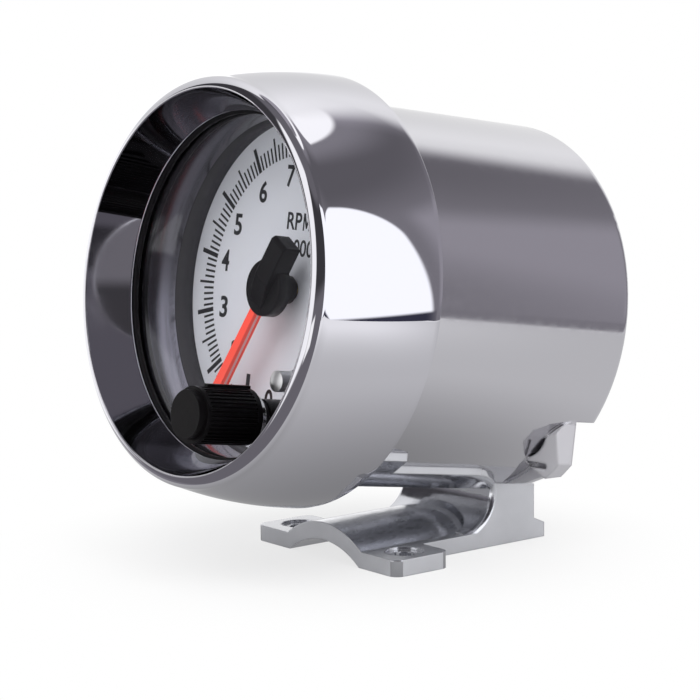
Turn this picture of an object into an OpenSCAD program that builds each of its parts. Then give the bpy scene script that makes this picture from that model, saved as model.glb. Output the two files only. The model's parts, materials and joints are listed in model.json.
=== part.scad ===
// Pedestal tachometer with a chrome visor, on a cast bracket for a steering column or a flat shelf.
// Millimetres. The origin is the middle of the two foot holes, on the plane that the feet rest on.
// Z is up, the dial looks towards -Y, and X runs to the right of someone who reads the dial.
// Most pieces are drawn in the can's own frame: z runs back along its axis from the mouth of the visor,
// x to the right and y down. A clock angle is counted from +X, anticlockwise as the reader sees it.

/* [Stance] */
// Backward lean of the can on its bracket, in degrees
tilt = 8.5; // [0:0.5:14]
// Distance of the visor's mouth in front of the foot holes
mouth_forward = 42; // [38:0.5:48]
// Height of the middle of the visor's mouth above the feet
mouth_height = 65; // [62:0.5:72]

/* [Visor] */
// Distance that the sharp rear edge stands out from the can
visor_flare = 5; // [3.5:0.5:11]
// Length from the mouth to the rear edge
visor_length = 29.4; // [26:0.2:34]
// Radius of the long barrel curve of the outside
visor_curve_r = 99; // [80:1:160]
// Distance of the edge of the mouth in from the can's radius
mouth_inset = 1.5; // [0.5:0.5:3]
// Radius that rounds the front edge
lip_round = 2.6; // [1:0.2:3]
// Wall of the visor
visor_wall = 2; // [1.4:0.1:2.6]
// Wall of the liner inside the mouth
liner_wall = 1.4; // [1:0.1:2]
// Thickness of the collar in front of the gasket
neck_land = 0.8; // [0.6:0.1:1.4]
// Number of ribs that centre the visor on the can
visor_ribs = 12; // [6:2:18]

/* [Can] */
// Outer radius of the can
can_r = 42.5; // [42:0.5:44]
// Wall of the can
can_wall = 2; // [1.6:0.1:2.6]
// Distance from the mouth to the back of the can
can_end = 89; // [84:0.5:100]
// Rounding of the can's back edge
can_edge = 2.2; // [0.8:0.1:2.6]
// Length of the step that is cut out of the can's lower back
step_length = 7; // [5:0.5:10]
// Height of the step that is cut out of the can's lower back
step_height = 19.7; // [15:0.1:24]
// Depth of the flat seat that is cut into the can's underside
seat_cut = 3.2; // [2.6:0.1:3.4]

/* [Side lugs] */
// Height of a lug over the can's surface
lug_height = 5.9; // [3.7:0.2:7.3]
// Distance of the lugs' flat cheeks in from the can's radius
cheek_inset = 6.5; // [4.5:0.5:8]
// Length of a lug along the can
lug_length = 6.3; // [5:0.1:8]
// How far a lug's front leans back for each millimetre outwards
lug_lean = 0.37; // [0:0.01:0.5]
// Clock angle of a lug's lower end, below the horizontal
lug_low_angle = 50; // [46:1:54]
// Downward slope of the lug's lower edge towards the outside, in degrees
lug_low_slope = 24; // [20:1:40]
// Rounding of a lug's upper front corner
lug_round = 7; // [4:0.5:7.5]
// Rounding of a lug's lower front corner
lug_low_round = 2.8; // [1:0.1:3.5]
// Rise of a lug's underside towards the back, in degrees
lug_rise = 20; // [0:1:25]

/* [Glass] */
// Depth of the gasket's face behind the mouth
glass_depth = 10.4; // [8:0.2:14]
// Thickness of the gasket
gasket_t = 1.2; // [0.8:0.1:2]
// Width of the gasket's band
gasket_band = 5.1; // [3.6:0.1:5.3]
// Thickness of the glass
lens_t = 2; // [1.5:0.1:3]
// Distance of the glass's edge in from the can's radius
lens_inset = 3; // [2.7:0.1:3.3]
// Distance of the dial's visible edge in from the can's radius
spacer_inset = 5.2; // [4.7:0.1:5.9]
// Wall of the spacer ring
spacer_wall = 1.3; // [0.8:0.1:1.6]

/* [Dial] */
// Depth of the dial's face behind the mouth
dial_depth = 26.9; // [24:0.1:30]
// Thickness of the dial
dial_t = 0.8; // [0.5:0.1:1.2]
// Depth of the light box from the dial's back to its own back
light_box_depth = 9.9; // [8:0.1:14]
// Wall of the light box
light_box_wall = 1.8; // [1.2:0.1:2.4]

/* [Needle] */
// Clock angle of the needle as photographed
needle_angle = 238.8; // [225:0.1:262]
// Depth of the hub's face behind the mouth
hub_face = 18.7; // [16:0.1:19.5]
// Radius of the hub
hub_r = 6.2; // [5:0.1:8]
// Thickness of the hub's cap
hub_t = 3.2; // [2.8:0.1:4]
// Radius of the boss behind the cap
hub_boss_r = 2.75; // [2:0.05:4]
// Distance of the tail's end from the spindle
tail_reach = 12.6; // [10:0.1:16]
// Width of the tail
tail_w = 4.6; // [3:0.1:6]
// Gap between the needle's tip and the dial's visible edge
tip_gap = 4.3; // [2.8:0.5:11.3]
// Width of the needle at the hub
needle_root_w = 1.9; // [1.2:0.1:2.6]
// Width of the needle where its tip begins to narrow
needle_end_w = 2.4; // [1.4:0.1:3]
// Length of the needle's narrowing tip
needle_tip_length = 5; // [3:0.5:8]
// Depth of the needle from its face to its underside
needle_deep = 2.2; // [1:0.1:2.4]
// Radius of the spindle
spindle_r = 0.75; // [0.5:0.05:1.2]
// Radial running clearance of the turning pieces
running_gap = 0.05; // [0.03:0.01:0.1]

/* [Movement] */
// Outer radius of the steel cup
cup_r = 15; // [14:0.1:17]
// Gap between the outer coil and the cup's floor
cup_clearance = 0.4; // [0.2:0.1:1.5]
// Wall of the cup
cup_wall = 0.8; // [0.5:0.1:1.2]
// Radius of the rotor magnet
magnet_r = 5.6; // [4:0.1:6]
// Thickness of the rotor magnet
magnet_t = 4; // [2.5:0.1:5]
// Wall of the bobbin's hub between the halves of the coils
bobbin_hub_wall = 1.1; // [0.6:0.1:1.4]
// Width of each half of a coil
coil_band = 2.6; // [1.6:0.1:3]
// Thickness of a coil's winding
coil_build = 1.7; // [1:0.1:1.8]

/* [Knob] */
// Clock angle of the knob
knob_angle = 292; // [284:0.5:300]
// Gap between the control's nut and the gasket
control_gap = 0.3; // [0.2:0.05:0.7]
// Radius of the knob over its ribs
knob_r = 6.05; // [5:0.05:6.4]
// Distance that the knob stands out of the visor's mouth
knob_proud = 5.7; // [3:0.1:8]
// Radius of the knob's end disc
knob_face_r = 5.2; // [4:0.1:5.6]
// Length of the knob's end disc
knob_face_t = 1.6; // [0.6:0.1:2.4]
// Height of the ribs
rib_h = 0.35; // [0.2:0.05:0.6]
// Number of ribs round the knob
rib_count = 40; // [24:2:60]
// Height of the index bar on the knob
index_h = 0.6; // [0.3:0.1:0.8]
// Width of the index bar
index_w = 1.2; // [0.8:0.1:2]
// Gap between the knob and its nut
knob_gap = 0.35; // [0.3:0.05:0.6]
// Radius of the control's spindle
shaft_r = 3; // [2:0.05:3]
// Outer radius of the sleeve between glass and dial
sleeve_r = 4; // [3.8:0.1:4.6]
// Radius of the sleeve's nose in the glass
nose_r = 3.5; // [3.4:0.05:3.6]
// Radius of the nut in front of the glass
nut_r = 4.9; // [4.2:0.05:4.9]

/* [Button] */
// Clock angle of the push button
button_angle = 321.4; // [316:0.2:328]
// Depth of the button's face behind the mouth
button_face = 7.5; // [6:0.1:9]
// Radius of the button
button_r = 2.2; // [1.6:0.05:2.6]
// Travel of the button
button_travel = 1.2; // [0.6:0.1:1.5]
// Wall of the tube that the button slides in
guide_wall = 0.95; // [0.6:0.05:1.2]
// Radius of the button's flange behind the tube
button_flange_r = 3.4; // [3:0.1:3.8]
// Radius of the button's tip
button_tip_r = 1.2; // [0.8:0.05:1.4]
// Length of the button's spring
spring_length = 2.6; // [2.4:0.1:3.2]
// Wire of the button's spring
spring_wire = 0.35; // [0.25:0.05:0.4]
// Turns of the button's spring
spring_turns = 2.5; // [2:0.25:3]

/* [Circuit board] */
// Gap between the light box and the board
board_gap = 7; // [6:0.1:9]
// Thickness of the board
board_t = 1.6; // [1:0.1:2]
// Gap between the board's edge and the can
board_clearance = 1.7; // [1.1:0.1:3.5]
// Distance of the pillars in from the board's edge
pillar_inset = 4.8; // [4.4:0.1:6.8]
// Radius of a pillar
pillar_r = 2.6; // [2:0.1:3]
// Radius of a board screw
board_screw_r = 1.2; // [1:0.1:1.5]
// Radius of a long case screw
case_screw_r = 1.6; // [1.2:0.1:2]
// Radius of a case screw's head
case_head_r = 3.2; // [2.6:0.1:4]
// Radius of a lamp
lamp_r = 2.5; // [1.5:0.1:2.6]
// Distance of the lamps from the axis
lamp_ring = 24; // [22:0.1:26]
// Distance of the tall parts on the board from the axis
parts_ring = 27.5; // [26:0.5:29]
// Radius of the large capacitor
capacitor_r = 4; // [2.5:0.1:4.5]
// Length of the large capacitor
capacitor_length = 11; // [6:0.5:16]
// Width of the driver chip
chip_width = 10; // [7:0.5:12]
// Depth of the driver chip
chip_depth = 7; // [4:0.5:8]
// Thickness of the driver chip
chip_t = 3.4; // [1.5:0.1:4]
// Distance of the driver chip and of the wire socket from the axis
socket_drop = 24; // [22:0.5:26]
// Width of the wire socket
socket_width = 16; // [10:0.5:20]
// Depth of the wire socket
socket_depth = 8; // [6:0.5:9]
// Height of the wire socket
socket_height = 7; // [5:0.5:10]
// Wall of the wire socket
socket_wall = 1.1; // [0.8:0.1:1.5]

/* [Cable outlet] */
// Radius of the grommet's hole
outlet_r = 3; // [2:0.1:4]
// Radius of the grommet in the can's wall
grommet_r = 5; // [4.6:0.1:5.4]
// Radius of the grommet's flanges
flange_r = 6.4; // [6:0.1:6.6]
// Distance of the outlet's middle in from the can's radius
outlet_inset = 11.9; // [11.7:0.1:12.5]

/* [Bracket feet] */
// Half the width across the feet
foot_half_width = 25.5; // [23:0.5:32]
// Depth of a foot from front to back
foot_depth = 15.4; // [13:0.2:20]
// Thickness of the feet and of the side flanges
foot_t = 3.7; // [3:0.1:4.2]
// Rounding of the feet's corners
foot_round = 2.4; // [1:0.1:4]
// Distance between the two foot holes
hole_spacing = 38; // [35:0.5:50]
// Radius of a foot hole
hole_r = 2.3; // [1.8:0.1:2.8]
// Radius of the shallow counterbore round a foot hole
counterbore_r = 4.3; // [3.4:0.1:5]
// Depth of the counterbore
counterbore_t = 0.6; // [0.3:0.1:1]

/* [Bracket body] */
// Half the width of the rear wall and its flanges
wall_half_width = 16.15; // [14:0.05:19]
// Distance of the rear wall's back face behind the foot holes
wall_back = 41.2; // [38:0.2:44]
// Length of the toe behind the rear wall
toe_length = 3.2; // [2:0.1:5]
// Height of the toe at its end
toe_h = 3.4; // [2.5:0.1:5]
// Rise of the toe's top to the wall
toe_rise = 1.4; // [0.2:0.1:2]
// Radius of the arched saddle that sits on a steering column
column_r = 21; // [18:0.5:24]
// Height of the saddle's arch above the feet's plane
column_rise = 4.2; // [3:0.1:5]
// Thickness of the saddle's arch
arch_t = 4; // [3:0.1:4.6]
// Radius of the rounded end of the slot, at the middle of the wall
slot_r = 8.5; // [7:0.1:8.8]
// Distance of the slot's centre behind the foot holes
slot_back = 20; // [17:0.2:22]
// Height of the slot's centre
slot_height = 12.6; // [12.6:0.1:13.4]
// Width of the rounded lip on each side of the slot's end
slot_lip = 1.3; // [0.6:0.1:2.5]

/* [Bracket cradle] */
// Thickness of the cradle under the can's seat
cradle_t = 1.3; // [1:0.1:2.2]
// Thickness of the cradle's curved sides
cradle_side_t = 1.4; // [1.3:0.1:2]
// Half the width of the cradle
cradle_half_width = 24.3; // [21:0.1:26]
// Half the width across the cradle's front ears
ear_half_width = 28.5; // [26.5:0.1:29]
// Distance of the cradle's front end behind the mouth
cradle_front = 30.4; // [30:0.2:34]
// Distance of the ears' rear end behind the mouth
ear_end = 40.6; // [38:0.2:46]
// Distance behind the mouth where the cradle starts to narrow
cradle_waist = 64; // [58:0.5:66]
// Radius of the cradle's rounded rear corners
cradle_round = 14; // [10:0.5:16]
// Distance behind the mouth of the first screw from the can into the cradle
cradle_screw_front = 52; // [51:0.5:54]
// Distance between the cradle's two screws
cradle_screw_pitch = 14; // [10:0.5:16]
// Radius of a cradle screw
cradle_screw_r = 1.5; // [1:0.1:2]
// Radius of a cradle screw's head
cradle_head_r = 3; // [2.4:0.1:3.6]
// Thickness of a cradle screw's head
cradle_head_t = 1.8; // [1.2:0.1:2.6]

/* [Hidden] */
$fn = 96;

// Overlap that keeps a cut or a union clean
e = 0.01;
// Radial gap where one fixed piece slips over another
slip = 0.1;
// Long enough to cut through the whole object
far = 200;

// Radii that follow the can's
visor_r = can_r + visor_flare;
mouth_r = can_r - mouth_inset;
lens_r = can_r - lens_inset;
gasket_r = lens_r - gasket_band;
spacer_r = can_r - spacer_inset;
control_r = gasket_r - nut_r - control_gap;
needle_reach = spacer_r - tip_gap;
lug_r = can_r + lug_height;
lug_half_width = can_r - cheek_inset;
board_r = can_r - can_wall - board_clearance;
pillar_ring = board_r - pillar_inset;

// Depths below the can's axis
seat_drop = can_r - seat_cut;
step_drop = can_r - step_height;
outlet_drop = can_r - outlet_inset;
cradle_drop = seat_drop + cradle_t;
// Half the width of the flat seat
seat_half_width = sqrt(pow(can_r, 2) - pow(seat_drop, 2));

// Places along the can's axis, counted from the mouth
gasket_back = glass_depth + gasket_t;
lens_back = gasket_back + lens_t;
can_front = lens_back;
can_inner_r = can_r - can_wall;
can_floor = can_end - can_wall;
dial_back = dial_depth + dial_t;
box_back = dial_back + light_box_depth;
box_floor = box_back - light_box_wall;
box_r = can_inner_r - slip;
floor_drop = seat_drop - can_wall;
key_drop = floor_drop - slip;
seat_front = cradle_front - 0.3;
board_front = box_back + board_gap;
board_back = board_front + board_t;
step_face = can_end - step_length;
neck_r = spacer_r + slip;
land_front = glass_depth - neck_land;

// Hub and needle
hub_back = hub_face + hub_t;
needle_face = hub_face + 0.5;
boss_back = dial_depth - 0.9;
spindle_front = hub_face + 1.4;

// Movement, from the front of the cup backwards
bearing_r = 2.2;
bearing_length = 2.6;
magnet_gap = 0.4;
bobbin_plate = 2;
bobbin_wall = 1;
bobbin_hub_r = bearing_r + bobbin_hub_wall;
outer_coil_front = box_back + bobbin_plate + slip;
inner_coil_front = outer_coil_front + coil_build + slip;
bobbin_body_front = inner_coil_front + coil_build + slip;
magnet_front = bobbin_body_front + bobbin_wall + magnet_gap;
rear_bearing_front = magnet_front + magnet_t + magnet_gap + bobbin_wall;
bobbin_back = rear_bearing_front + bearing_length;
outer_coil_back = bobbin_back + 2 * (coil_build + slip);
cup_back = outer_coil_back + cup_clearance + cup_wall;
bobbin_r = magnet_r + magnet_gap + bobbin_wall;
bobbin_split = magnet_front + magnet_t / 2;
inner_coil_half = bobbin_r + slip;
outer_coil_half = inner_coil_half + coil_build + slip;

// Knob and control
knob_front = -knob_proud;
nut_front = glass_depth - 0.1;
knob_back = nut_front - knob_gap;
knob_bore_front = knob_front + 4.5;

pot_bore_back = board_front - 1;

// Clock angles of the lamps, the board's pillars and the case screws
lamp_angles = [35, 90, 145, 200];
pillar_angles = [70, 115, 245];
case_angles = [0, 180];

// Button
guide_r = button_r + running_gap + guide_wall;
flange_front = box_back + 0.1;
flange_back = flange_front + 0.8;
switch_front = flange_back + spring_length;

// Screws
cradle_screws = [cradle_screw_front, cradle_screw_front + cradle_screw_pitch];
screw_bite = 0.02;

// Bracket
arch_crest = column_rise + arch_t;
arch_outer_r = column_r + 1.2;
toe_back = wall_back + toe_length;
saddle_center = column_rise - column_r;
arch_center = arch_crest - arch_outer_r;

// Puts a piece that is drawn in the can's frame in its place over the bracket
module on_can() {
    translate([0, -mouth_forward, mouth_height])
        rotate([-90 - tilt, 0, 0])
            children();
}

// Moves to a distance from the axis, a clock angle and a depth behind the mouth
module at_clock(r, angle, depth = 0) {
    translate([r * cos(angle), -r * sin(angle), depth])
        children();
}

// Straight tube from one depth to another
module tube(outer, inner, from, to) {
    translate([0, 0, from])
        difference() {
            cylinder(r = outer, h = to - from);
            translate([0, 0, -1])
                cylinder(r = inner, h = to - from + 2);
        }
}

// Solid rod from one depth to another
module rod(r, from, to) {
    translate([0, 0, from])
        cylinder(r = r, h = to - from);
}

// Rectangle with round corners, centred
module round_rect(w, d, r) {
    square([w - 2 * r, d], center = true);
    square([w, d - 2 * r], center = true);
    for (sx = [-1, 1], sy = [-1, 1])
        translate([sx * (w / 2 - r), sy * (d / 2 - r)])
            circle(r = r);
}

// Outside of the visor in half section, as the inside of its barrel curve grown by g
module visor_outline(g = 0) {
    intersection() {
        translate([visor_r - visor_curve_r, visor_length])
            circle(r = visor_curve_r - g, $fn = 360);
        translate([0, g])
            square([visor_r + 1, visor_length - g]);
    }
}

// Corner that a rounding of radius r takes off the lip
module lip_corner() {
    lip_r = visor_r - visor_curve_r + sqrt(pow(visor_curve_r, 2) - pow(visor_length - lip_round, 2));
    difference() {
        translate([lip_r - lip_round, -1])
            square([lip_round + 2, lip_round + 1]);
        translate([lip_r - lip_round, lip_round])
            circle(r = lip_round);
    }
}

// Half section of the space between the liner and the outer wall, open to the back
module visor_pocket() {
    intersection() {
        visor_outline(visor_wall);
        polygon([[mouth_r + liner_wall, 0], [visor_r, 0], [visor_r, visor_length + 1],
            [lens_r + slip + liner_wall, visor_length + 1], [lens_r + slip + liner_wall, land_front]]);
    }
}

// Half section of what stands in the visor: cone, gasket seat, lens seat and the can's front
module visor_bore() {
    polygon([[0, -1], [mouth_r, -1], [mouth_r, 0], [neck_r, land_front], [neck_r, glass_depth],
        [lens_r + slip, glass_depth], [lens_r + slip, can_front], [can_r + slip, can_front],
        [can_r + slip, visor_length + 1], [0, visor_length + 1]]);
}

module visor() {
    rib_t = 1.2;
    color("gainsboro") on_can() {
        rotate_extrude()
            difference() {
                visor_outline();
                lip_corner();
                visor_bore();
                visor_pocket();
            }
        // ribs that stop and centre the can
        intersection() {
            rotate_extrude()
                difference() {
                    visor_pocket();
                    visor_bore();
                    translate([0, visor_length - 1.2])
                        square([visor_r + 1, 3]);
                }
            for (i = [0 : visor_ribs - 1])
                rotate((i + 0.5) * 360 / visor_ribs)
                    translate([lens_r, -rib_t / 2, 0])
                        cube([visor_r - lens_r, rib_t, visor_length]);
        }
    }
}

// Solid that the can's outside fills, with the flat seat underneath
module can_outside(from, to) {
    difference() {
        rod(can_r, from, to);
        translate([-can_r, seat_drop, seat_front])
            cube([2 * can_r, can_r, to]);
    }
}

// Room inside the can, flat over the seat
module can_inside(from, to) {
    difference() {
        rod(can_inner_r, from, to);
        translate([-can_r, floor_drop, seat_front - can_wall])
            cube([2 * can_r, can_r, to]);
    }
}

// Side lug, on the reader's right for side 1 and left for -1: its front leans back, both front
// corners are round, and it has a slot, a crescent groove and a web that closes it to the seat
module side_lug(side) {
    lug_front = step_face - lug_length;
    round_y = step_drop - 0.3 + lug_round;
    // distance of the lower edge from the axis, and the centre of the rounding above it
    low_edge = lug_r * sin(lug_low_angle - lug_low_slope);
    corner_y = low_edge - lug_low_round * (1 + sin(lug_rise)) / cos(lug_rise);
    corner_s = lug_front + lug_low_round;
    // the rounding is worked in a few flats
    corner_flats = 3;
    corner = [for (i = [0 : corner_flats]) let (a = i * (90 - lug_rise) / corner_flats)
        [corner_y + lug_low_round * sin(a), corner_s - lug_low_round * cos(a)]];
    root_r = can_r - can_wall / 2;
    slot_centre = [lug_half_width - 6, lug_half_width - 2.8];
    slot_depth = 3.9;
    groove_r = 8;
    groove_ring = can_r - 7.2;
    groove_angle = lug_low_angle - 6.5;
    groove_depth = 3.4;
    web_t = 2;
    web_drop = 1.2;
    web_end = [lug_half_width - 3, seat_drop - 5.1];
    difference() {
        intersection() {
            rotate_extrude()
                polygon([[root_r, lug_front - lug_lean * (can_r - root_r)],
                    [lug_r, lug_front + lug_lean * lug_height], [lug_r, step_face], [root_r, step_face]]);
            translate([side > 0 ? 0 : -lug_half_width, 0, lug_front - 1])
                cube([lug_half_width, lug_r, lug_length + 1]);
            // upper front corner, seen from the side
            rotate([90, 0, 90])
                translate([0, 0, -lug_r])
                    linear_extrude(2 * lug_r) {
                        translate([round_y, step_face])
                            circle(r = lug_round);
                        translate([round_y, lug_front - 1])
                            square([lug_r, lug_length + 1]);
                    }
            // lower edge, seen along it
            rotate(side * lug_low_slope)
                rotate([90, 0, 90])
                    translate([0, 0, -lug_r])
                        linear_extrude(2 * lug_r)
                            polygon(concat([[-lug_r, lug_front - 1], [corner_y, lug_front - 1]], corner,
                                [[low_edge - lug_length * tan(lug_rise), step_face], [-lug_r, step_face]]));
        }
        // slot near the lower end
        translate([side * slot_centre[0], slot_centre[1], lug_front - 1])
            linear_extrude(slot_depth + 1)
                round_rect(5.6, 1.3, 0.4);
        // crescent groove along the can
        translate([0, 0, lug_front - 1])
            linear_extrude(groove_depth + 1)
                difference() {
                    rotate(90 - side * (90 - groove_angle))
                        translate([groove_ring, 0])
                            circle(r = groove_r);
                    circle(r = can_r);
                }
    }
    // web from the lug to the seat
    translate([0, 0, step_face - web_t])
        linear_extrude(web_t - slip)
            difference() {
                polygon([for (p = [[0, seat_drop], [seat_half_width + 1, seat_drop],
                    [seat_half_width + 7.8, seat_drop - web_drop], web_end,
                    [lug_half_width - 9, step_drop], [0, step_drop]]) [side * p[0], p[1]]]);
                circle(r = root_r);
            }
}

module can() {
    color("silver") on_can()
        difference() {
            union() {
                difference() {
                    can_outside(can_front, can_end);
                    // rounded back edge
                    difference() {
                        tube(can_r + 1, can_r - can_edge, can_end - can_edge, can_end + 1);
                        translate([0, 0, can_end - can_edge])
                            rotate_extrude()
                                translate([can_r - can_edge, 0])
                                    circle(r = can_edge);
                    }
                }
                side_lug(1);
                side_lug(-1);
            }
            difference() {
                can_inside(can_front - 1, can_floor);
                // walls of the rear step
                translate([-can_r, step_drop - can_wall, step_face - can_wall])
                    cube([2 * can_r, can_r, far]);
            }
            // rear step
            translate([-can_r - 1, step_drop, step_face])
                cube([2 * can_r + 2, can_r, step_length + 1]);
            // holes for the cradle's screws
            for (s = cradle_screws)
                translate([0, seat_drop + 1, s])
                    rotate([90, 0, 0])
                        cylinder(r = cradle_screw_r + slip, h = can_wall + 2);
            // holes for the case screws and for the grommet
            for (a = case_angles)
                at_clock(pillar_ring, a, can_floor - 1)
                    cylinder(r = case_screw_r + slip, h = can_wall + 2);
            translate([0, outlet_drop, step_face - can_wall - 1])
                cylinder(r = grommet_r, h = can_wall + 2);
        }
}

module lens_gasket() {
    color("#141414") on_can()
        tube(lens_r, gasket_r, glass_depth, gasket_back);
}

module lens() {
    color("aliceblue", 0.35) on_can()
        difference() {
            rod(lens_r, gasket_back, lens_back);
            at_clock(control_r, knob_angle, gasket_back - 1)
                cylinder(r = nose_r + slip, h = lens_t + 2);
            at_clock(control_r, button_angle, gasket_back - 1)
                cylinder(r = button_r + 0.2, h = lens_t + 2);
        }
}

module spacer_ring() {
    flange_t = 1.2;
    color("#3a3b40") on_can() {
        tube(spacer_r + spacer_wall, spacer_r, lens_back, dial_depth);
        tube(box_r, spacer_r, lens_back, lens_back + flange_t);
        tube(box_r, spacer_r, dial_depth - flange_t, dial_depth);
    }
}

// Holes for the boss, the control's sleeve and the button's tube in a plate behind the glass
module works_holes(from, to, spindle_hole) {
    rod(spindle_hole, from, to);
    at_clock(control_r, knob_angle)
        rod(sleeve_r + slip, from, to);
    at_clock(control_r, button_angle)
        rod(guide_r + slip, from, to);
}

module dial() {
    color("#e9eaf0") on_can()
        difference() {
            rod(box_r, dial_depth, dial_back);
            works_holes(dial_depth - 1, dial_back + 1, bearing_r + slip);
        }
}

// Disc inside the can with the flat that keys it to the can's floor
module keyed_disc(r) {
    intersection() {
        circle(r = r);
        translate([-r, -r])
            square([2 * r, r + key_drop]);
    }
}

module light_box() {
    color("white") on_can()
        difference() {
            union() {
                translate([0, 0, dial_back])
                    linear_extrude(light_box_depth)
                        difference() {
                            keyed_disc(box_r);
                            intersection() {
                                circle(r = box_r - light_box_wall);
                                translate([-box_r, -box_r])
                                    square([2 * box_r, box_r + key_drop - light_box_wall]);
                            }
                        }
                translate([0, 0, box_floor])
                    linear_extrude(light_box_wall)
                        keyed_disc(box_r);
                // tube for the front bearing
                rod(bearing_r + 2, dial_back, box_back);
                // pillars that the case screws bite into
                for (a = case_angles)
                    at_clock(pillar_ring, a)
                        rod(case_screw_r + 1.8, box_floor, board_front);
            }
            works_holes(dial_back - 1, box_back + 1, bearing_r);
            for (a = case_angles)
                at_clock(pillar_ring, a)
                    rod(case_screw_r + screw_bite, box_back - 0.5, board_front + 1);
            for (a = lamp_angles)
                at_clock(lamp_ring, a)
                    rod(lamp_r + slip, box_floor - 1, box_back + 1);
        }
}

// Outline of the needle, pointing along +X
module needle_outline() {
    root = hub_r - 2.4;
    shoulder = needle_reach - needle_tip_length;
    polygon([[root, -needle_root_w / 2], [shoulder, -needle_end_w / 2], [needle_reach, -0.3],
        [needle_reach, 0.3], [shoulder, needle_end_w / 2], [root, needle_root_w / 2]]);
}

module needle() {
    color("#ef5a4c") on_can()
        rotate(-needle_angle)
            translate([0, 0, needle_face])
                linear_extrude(needle_deep)
                    needle_outline();
}

module needle_hub() {
    tail_bevel = 1.5;
    tail_face = hub_face + 0.8;
    color("#161618") on_can()
        difference() {
            union() {
                rod(hub_r, hub_face, hub_back);
                rod(hub_boss_r, hub_back - e, boss_back);
                // counterweight tail with a bevelled end
                rotate(180 - needle_angle)
                    rotate([90, 0, 0])
                        linear_extrude(tail_w, center = true)
                            polygon([[0, tail_face], [tail_reach - tail_bevel, tail_face],
                                [tail_reach, tail_face + tail_bevel], [tail_reach, hub_back], [0, hub_back]]);
            }
            rotate(-needle_angle)
                translate([0, 0, needle_face])
                    linear_extrude(needle_deep)
                        needle_outline();
            rod(spindle_r, spindle_front, boss_back + 1);
        }
}

module needle_spindle() {
    color("#b9bcc2") on_can()
        rod(spindle_r, spindle_front, rear_bearing_front + bearing_length - 1);
}

module front_bearing() {
    color("#c8a24a") on_can()
        tube(bearing_r, spindle_r + running_gap, dial_back, bobbin_body_front + bobbin_wall);
}

module rear_bearing() {
    color("#c8a24a") on_can()
        difference() {
            rod(bearing_r, rear_bearing_front, bobbin_back);
            rod(spindle_r + running_gap, rear_bearing_front - 1, bobbin_back - 0.7);
        }
}

module rotor_magnet() {
    color("#55565a") on_can()
        tube(magnet_r, spindle_r, magnet_front, magnet_front + magnet_t);
}

// Hollow that the magnet turns in
module magnet_room() {
    rod(magnet_r + magnet_gap, magnet_front - magnet_gap, magnet_front + magnet_t + magnet_gap);
}

module bobbin_front() {
    color("#2b2d31") on_can()
        difference() {
            union() {
                rod(outer_coil_half, box_back, box_back + bobbin_plate);
                rod(bobbin_hub_r, box_back, bobbin_split);
                rod(bobbin_r, bobbin_body_front, bobbin_split);
            }
            rod(bearing_r, box_back - 1, magnet_front);
            magnet_room();
        }
}

module bobbin_rear() {
    color("#2b2d31") on_can()
        difference() {
            rod(bobbin_r, bobbin_split, bobbin_back);
            rod(bearing_r, rear_bearing_front - bobbin_wall - 1, bobbin_back + 1);
            magnet_room();
        }
}

// One coil: two flat rings of wire side by side, which leave room for the hub between them
module coil(half_width, from, to) {
    for (side = [-1, 1])
        translate([0, side * (bobbin_hub_r + slip + coil_band / 2), (from + to) / 2])
            rotate([90, 0, 0])
                linear_extrude(coil_band, center = true)
                    difference() {
                        round_rect(2 * (half_width + coil_build), to - from + 2 * coil_build, 2);
                        square([2 * half_width, to - from], center = true);
                    }
}

module inner_coil() {
    color("#b5652e") on_can()
        coil(inner_coil_half, inner_coil_front + coil_build, bobbin_back + slip);
}

module outer_coil() {
    color("#b5652e") on_can()
        rotate(90)
            coil(outer_coil_half, outer_coil_front + coil_build, bobbin_back + coil_build + 2 * slip);
}

module movement_cup() {
    color("#8f9399") on_can()
        difference() {
            union() {
                rod(cup_r, box_back, cup_back);
                rod(cup_r + 2, box_back, box_back + cup_wall);
            }
            rod(cup_r - cup_wall, box_back - 1, cup_back - cup_wall);
        }
}

module knob() {
    body_front = knob_front + knob_face_t;
    rib_w = 0.45;
    color("#17181a") on_can()
        at_clock(control_r, knob_angle)
            difference() {
                union() {
                    rod(knob_face_r, knob_front, body_front + e);
                    translate([0, 0, body_front])
                        linear_extrude(knob_back - body_front)
                            union() {
                                circle(r = knob_r - rib_h);
                                for (i = [0 : rib_count - 1])
                                    rotate(i * 360 / rib_count)
                                        translate([0, -rib_w / 2])
                                            square([knob_r, rib_w]);
                            }
                    // smooth collars at both ends of the ribs
                    rod(knob_r, body_front, body_front + 0.9);
                    rod(knob_r, knob_back - 1.2, knob_back);
                    // index bar at the top
                    translate([-index_w / 2, -knob_r - index_h, body_front + 3])
                        cube([index_w, knob_r, knob_back - body_front - 3]);
                }
                rod(shaft_r, knob_bore_front, knob_back + 1);
            }
}

module knob_shaft() {
    color("#a9adb3") on_can()
        at_clock(control_r, knob_angle)
            rod(shaft_r, knob_bore_front, pot_bore_back - 0.3);
}

module control_nut() {
    color("#c9ccd0") on_can()
        at_clock(control_r, knob_angle)
            tube(nut_r, nose_r, nut_front, gasket_back);
}

module control_bushing() {
    color("#26272a") on_can()
        at_clock(control_r, knob_angle)
            difference() {
                union() {
                    rod(sleeve_r, lens_back, box_back);
                    rod(nose_r, nut_front, lens_back + e);
                }
                rod(shaft_r + running_gap, nut_front - 1, box_back + 1);
            }
}

module potentiometer() {
    body_w = 12;
    color("#3b5f8f") on_can()
        at_clock(control_r, knob_angle)
            difference() {
                translate([0, 0, box_back])
                    linear_extrude(board_front - box_back)
                        rotate(-knob_angle)
                            round_rect(body_w, body_w, 1);
                rod(shaft_r + running_gap, box_back - 1, pot_bore_back);
            }
}

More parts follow.
